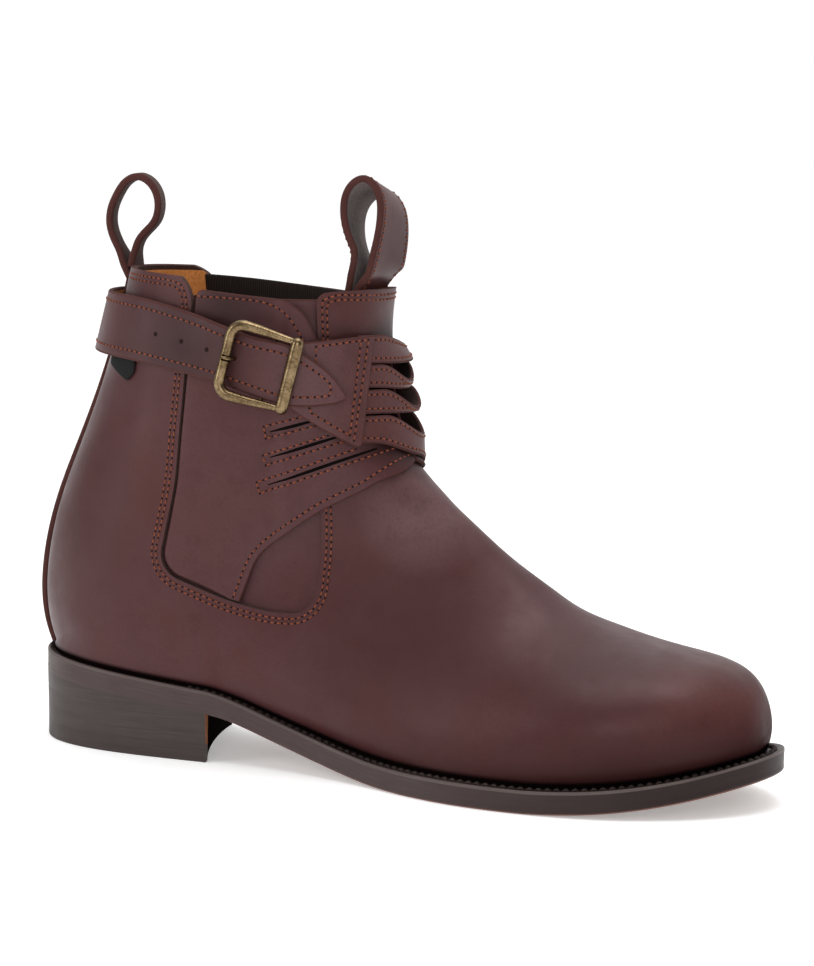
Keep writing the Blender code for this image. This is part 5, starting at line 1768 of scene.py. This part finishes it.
def build_outsole():
    loop = sole_loop(SOLE_STATIONS)
    rounded = smoothstep((loop[:, 0] - HEEL_BREAST) / EDGE_ROUNDS_OVER)
    rings = []
    for inset, lift in OUTSOLE_EDGE:
        square = min(inset, EDGE_INSET) if inset < EDGE_ROUNDS_WITHIN else inset
        rings.append(sole_ring(loop, square + (inset - square) * rounded, lift))
    shape = Shape()
    numbers = shape.add(np.stack(rings), np.stack(edge_flat(loop, rings)))
    kinds = np.array(OUTSOLE_KINDS)[:, None]
    shape.quads(numbers, np.where((kinds == 2) & (rounded < 1), 0, kinds), wrap=True)
    for ring, kind in ((numbers[0], 1), (numbers[-1], 0)):
        for i in range(SOLE_STATIONS // 2):
            shape.face(dict.fromkeys((ring[i], ring[i + 1], ring[-i - 1], ring[-i])), kind)
    return dress(shape.build("sole", OUTSOLE_FINISHES), "sole_edge", "outsole")


def build_welt():
    loop = sole_loop(SOLE_STATIONS)
    low = OUTSOLE_THICK + GAP
    groove = low + WELT_GROOVE
    ledge = welt_ledge(loop[:, 0])
    levels = [(inset, low + lift) for inset, lift in WELT_EDGE]
    levels += [
        (np.maximum(WELT_GROOVE_SHARE * ledge, WELT_GROOVE_LEAST), groove),
        (ledge, groove + WELT_GROOVE_RISE),
        (ledge + WELT_UNDER, groove + WELT_GROOVE_RISE),
        (ledge + WELT_UNDER, low),
    ]
    rings = [sole_ring(loop, inset, lift) for inset, lift in levels]
    shape = Shape()
    numbers = shape.add(np.stack(rings), np.stack(edge_flat(loop, rings)))
    shape.quads(numbers, np.array(WELT_KINDS)[:, None], wrap=True, around=True)
    return dress(shape.build("welt_rand", WELT_FINISHES), "sole_edge", "welt")


WELT_STITCH = {"length": 3.1, "width": 1.9, "rise": 0.5}
WELT_STITCH_PITCH = 3.3
WELT_STITCH_FROM = 74.0
WELT_STITCH_SHARE = 0.58
WELT_STITCH_LEAST = 2.2


def sew_welt():
    """Thick threads in the groove of the welt, from one side of the breast round the toe to the other."""
    loop = sole_loop(SOLE_STATIONS)
    inset = np.maximum(WELT_STITCH_SHARE * welt_ledge(loop[:, 0]), WELT_STITCH_LEAST)
    ring = sole_ring(loop, inset, OUTSOLE_THICK + GAP + WELT_GROOVE + WELT_GROOVE_RISE)
    ring = ring[ring[:, 0] > WELT_STITCH_FROM]
    run = run_length(ring)
    spots = along_run(ring, run, np.linspace(0, run[-1], int(run[-1] / WELT_STITCH_PITCH)))
    items = [((a + b) / 2, b - a, (0.0, 0.0, 1.0)) for a, b in zip(spots[:-1], spots[1:])]
    build_threads("welt_stitches", WELT_THREAD, "sole_edge", items, **WELT_STITCH)


# Heel: points along each side and across the breast, the raw corner, layers and the grooves between them
HEEL_SIDE_POINTS = 60
HEEL_BREAST_POINTS = 41
HEEL_SHARP = 30.0
RAW_CORNER = 2.6
HEEL_LAYERS = 3
HEEL_GROOVE_SHARE = 0.02
HEEL_GROOVE_DEPTH = 0.04
HEEL_TOP_INSET = 0.05
HEEL_TOP_RISE = 0.3
LIFT_SEAM = 0.03
LIFT_LEVELS = (
    (HEEL_TAPER + 0.4, 0.0),
    (HEEL_TAPER + 0.1, 0.3),
    (HEEL_TAPER, 0.8),
    (HEEL_TAPER, 4.0),
    (HEEL_TAPER, TOP_LIFT_THICK),
)


def heel_side(reach, front):
    """One side of the heel's plan, from the back to the breast."""
    angles = np.linspace(0, plan_angle(front), HEEL_SIDE_POINTS)
    return np.stack([SOLE_LENGTH * (1 - np.cos(angles)) / 2, reach(angles)], 1)


def heel_plan(inset, lean=0.0):
    """Plan of the heel: the sole's back with a hollow breast, further forward on the outer side."""
    outer = heel_side(OUTER_REACH, HEEL_BREAST + lean) * (1, -1)
    inner = heel_side(INNER_REACH, HEEL_BREAST - HEEL_BREAST_SKEW + lean)
    share = np.linspace(0, 1, HEEL_BREAST_POINTS)[:, None]
    corner = outer[-1] + (0.0, RAW_CORNER)
    breast = corner * (1 - share) + inner[-1] * share
    breast[:, 0] -= HEEL_BREAST_HOLLOW * 4 * (share * (1 - share))[:, 0]
    return inset_loop(np.concatenate([outer, breast[:-1], inner[:0:-1]]), inset)


def heel_piece(name, rings, side, finishes):
    """A piece of the heel from its rings; side is the kind of its side, 1 of its corner, 2 of its breast."""
    run = loop_run(rings[0][:, :2])
    shape = Shape()
    numbers = shape.add(np.stack(rings), np.stack([np.column_stack([run, ring[:, 2]]) for ring in rings]))
    kinds = np.full(len(run), side)
    kinds[HEEL_SIDE_POINTS - 1] = 1
    kinds[HEEL_SIDE_POINTS: HEEL_SIDE_POINTS + HEEL_BREAST_POINTS - 1] = 2
    shape.closed(numbers, kinds[None])
    return shape.build(name, finishes, HEEL_SHARP)


def build_heel_stack():
    """Layers of leather, each with a faint groove above it."""
    low, high = heel_plan(HEEL_TAPER, HEEL_BREAST_LEAN), heel_plan(HEEL_TOP_INSET)
    bottom = np.column_stack([low, np.full(len(low), TOP_LIFT_THICK + LIFT_SEAM)])
    top = np.column_stack([high, underside(high[:, 0]) + HEEL_TOP_RISE])
    levels = [(0.0, 0.0)]
    for layer in range(HEEL_LAYERS):
        start, end = layer / HEEL_LAYERS, (layer + 1) / HEEL_LAYERS
        for share in (start + HEEL_GROOVE_SHARE, (start + end) / 2, end - HEEL_GROOVE_SHARE):
            levels.append((share, 0.0))
        levels.append((end, HEEL_GROOVE_DEPTH))
    rings = []
    for share, inset in levels:
        ring = bottom * (1 - share) + top * share
        rings.append(np.column_stack([inset_loop(ring[:, :2], inset), ring[:, 2]]))
    # The breast is painted near black for its shade
    piece = heel_piece("heel_layers", rings, 0, [HEEL_EDGE, RAW_EDGE, DEEP_SHADE_BLACK])
    return dress(piece, "sole_edge", "heel_stack")


def build_heel_top_lift():
    rings = []
    for inset, z in LIFT_LEVELS:
        plan = heel_plan(inset, HEEL_BREAST_LEAN)
        rings.append(np.column_stack([plan, np.full(len(plan), z)]))
    # The breast is painted near black for its shade
    piece = heel_piece("heel_lift", rings, 1, [RUBBER, LIFT_EDGE, DEEP_SHADE_BLACK])
    return dress(piece, "heel_rubber", "heel_top_lift")


# Camera, lights and floor
IMAGE_HEIGHT = 966
CAMERA_FOCAL_PIXELS = 2767.7
CAMERA_TARGET = (151.46, 0.0, 109.03)
CAMERA_DISTANCE = 1047.4
CAMERA_AZIMUTH = 23.39
CAMERA_ELEVATION = 7.25
CAMERA_ROLL = 1.23
CAMERA_NEAR = 0.01
SENSOR = 36.0


def build_camera():
    azimuth, elevation, roll = (math.radians(a) for a in (CAMERA_AZIMUTH, CAMERA_ELEVATION, CAMERA_ROLL))
    level = math.cos(elevation)
    back = np.array((math.sin(azimuth) * level, -math.cos(azimuth) * level, math.sin(elevation)))
    flat_right = np.array((math.cos(azimuth), math.sin(azimuth), 0.0))
    flat_up = np.cross(back, flat_right)
    right = flat_right * math.cos(roll) + flat_up * math.sin(roll)
    up = flat_up * math.cos(roll) - flat_right * math.sin(roll)
    data = bpy.data.cameras.new("camera")
    data.sensor_fit = "VERTICAL"
    data.sensor_height = SENSOR
    data.lens = CAMERA_FOCAL_PIXELS * SENSOR / IMAGE_HEIGHT
    data.clip_start = CAMERA_NEAR
    camera = bpy.data.objects.new("camera", data)
    bpy.context.scene.collection.objects.link(camera)
    turn = Matrix(np.stack([right, up, back], 1).tolist()).to_4x4()
    place = placed(np.array(CAMERA_TARGET) + back * CAMERA_DISTANCE)
    camera.matrix_world = Matrix.Translation(Vector(place)) @ turn
    bpy.context.scene.camera = camera


# Soft boxes: place and aim in metres, width, height and power in watts
LIGHT_COLUMNS = ("name", "place", "aim", "width", "height", "power")
LIGHTS = (
    ("top_box", (0.1, -0.1, 1.3), (0.05, 0.0, 0.08), 0.9, 0.6, 7.0),
    ("left_box", (-1.0, -0.95, 0.55), (-0.05, 0.0, 0.1), 0.7, 0.9, 6.4),
    ("front_box", (0.55, -1.5, 0.6), (0.05, 0.0, 0.08), 1.0, 0.8, 7.6),
)

# Glow of the surroundings: an axis, the range of directions along it, and the strength at both ends
WORLD_GLOW = (
    ("Y", -0.2, 0.45, 0.06, 1.02),
    ("Z", 0.35, 0.95, 0.0, 0.6),
)


def build_lights():
    for row in LIGHTS:
        at = dict(zip(LIGHT_COLUMNS, row))
        data = bpy.data.lights.new(at["name"], "AREA")
        data.shape = "RECTANGLE"
        data.size = at["width"]
        data.size_y = at["height"]
        data.energy = at["power"]
        lamp = bpy.data.objects.new(at["name"], data)
        lamp.location = at["place"]
        lamp.rotation_euler = (Vector(at["aim"]) - Vector(at["place"])).to_track_quat("-Z", "Y").to_euler()
        bpy.context.scene.collection.objects.link(lamp)


def build_world():
    """Even surroundings that glow behind the boot and above it."""
    world = bpy.data.worlds.new("studio")
    world.use_nodes = True
    tree = world.node_tree
    ways = tree.nodes.new("ShaderNodeTexCoord")
    parts = tree.nodes.new("ShaderNodeSeparateXYZ")
    tree.links.new(ways.outputs["Generated"], parts.inputs["Vector"])
    total = tree.nodes.new("ShaderNodeMath")
    for socket, (axis, *limits) in zip(total.inputs, WORLD_GLOW):
        spread = tree.nodes.new("ShaderNodeMapRange")
        spread.interpolation_type = "SMOOTHSTEP"
        for name, value in zip(("From Min", "From Max", "To Min", "To Max"), limits):
            spread.inputs[name].default_value = value
        tree.links.new(parts.outputs[axis], spread.inputs["Value"])
        tree.links.new(spread.outputs["Result"], socket)
    background = tree.nodes["Background"]
    background.inputs["Color"].default_value = (1, 1, 1, 1)
    tree.links.new(total.outputs["Value"], background.inputs["Strength"])
    bpy.context.scene.world = world
    bpy.context.scene.view_settings.view_transform = "Standard"


FLOOR_HALF = 6.0
FLOOR_GLOW = 0.3
FLOOR_TONES = ((0.9, 0.9, 0.9), (0.92, 0.92, 0.92))


def build_floor():
    data = bpy.data.meshes.new("floor")
    corners = [(x * FLOOR_HALF, y * FLOOR_HALF, 0) for x, y in ((-1, -1), (1, -1), (1, 1), (-1, 1))]
    data.from_pydata(corners, [], [(0, 1, 2, 3)])
    finish = Finish("pale_floor", FLOOR_TONES[0], 0.9)
    finish.colour(finish.mix(finish.noise(40, 2), *FLOOR_TONES))
    finish.shader.inputs["Emission Color"].default_value = (1, 1, 1, 1)
    finish.shader.inputs["Emission Strength"].default_value = FLOOR_GLOW
    data.materials.append(finish.material)
    floor = bpy.data.objects.new("floor", data)
    bpy.context.scene.collection.objects.link(floor)


def build_insole():
    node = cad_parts["insole"]
    node.data.materials.clear()
    node.data.materials.append(TAN_SUEDE)


build_camera()
build_lights()
build_world()
build_floor()
build_outsole()
build_welt()
sew_welt()
build_heel_stack()
build_heel_top_lift()
build_insole()
build_upper()
build_back_strip()
build_gusset("gusset_outer", "oiled_leather", PANEL_SHEET)
build_gusset("gore_inner", "elastic", [ELASTIC])
build_flap("flap_outer", "outer")
build_flap("flap_inner", "inner")
build_bands()
build_patch()
build_tag()
build_strap()
build_buckle()
build_loop("pull_loop_front", FRONT_LOOP, FRONT_LOOP_WIDTH, FRONT_LOOP_TURNS, SMOOTH_LOOP, True)
build_loop("pull_loop_back", BACK_LOOP, BACK_LOOP_WIDTH, BACK_LOOP_TURNS, ROUGH_LOOP, False)
sew_side("outer")
sew_side("inner")
sew_patch()
build_slits()
build_threads("seam_threads", THREAD, "strap_leather", threads, **STITCH)
build_holes("needle_holes", HOLE_SHADE, "strap_leather")
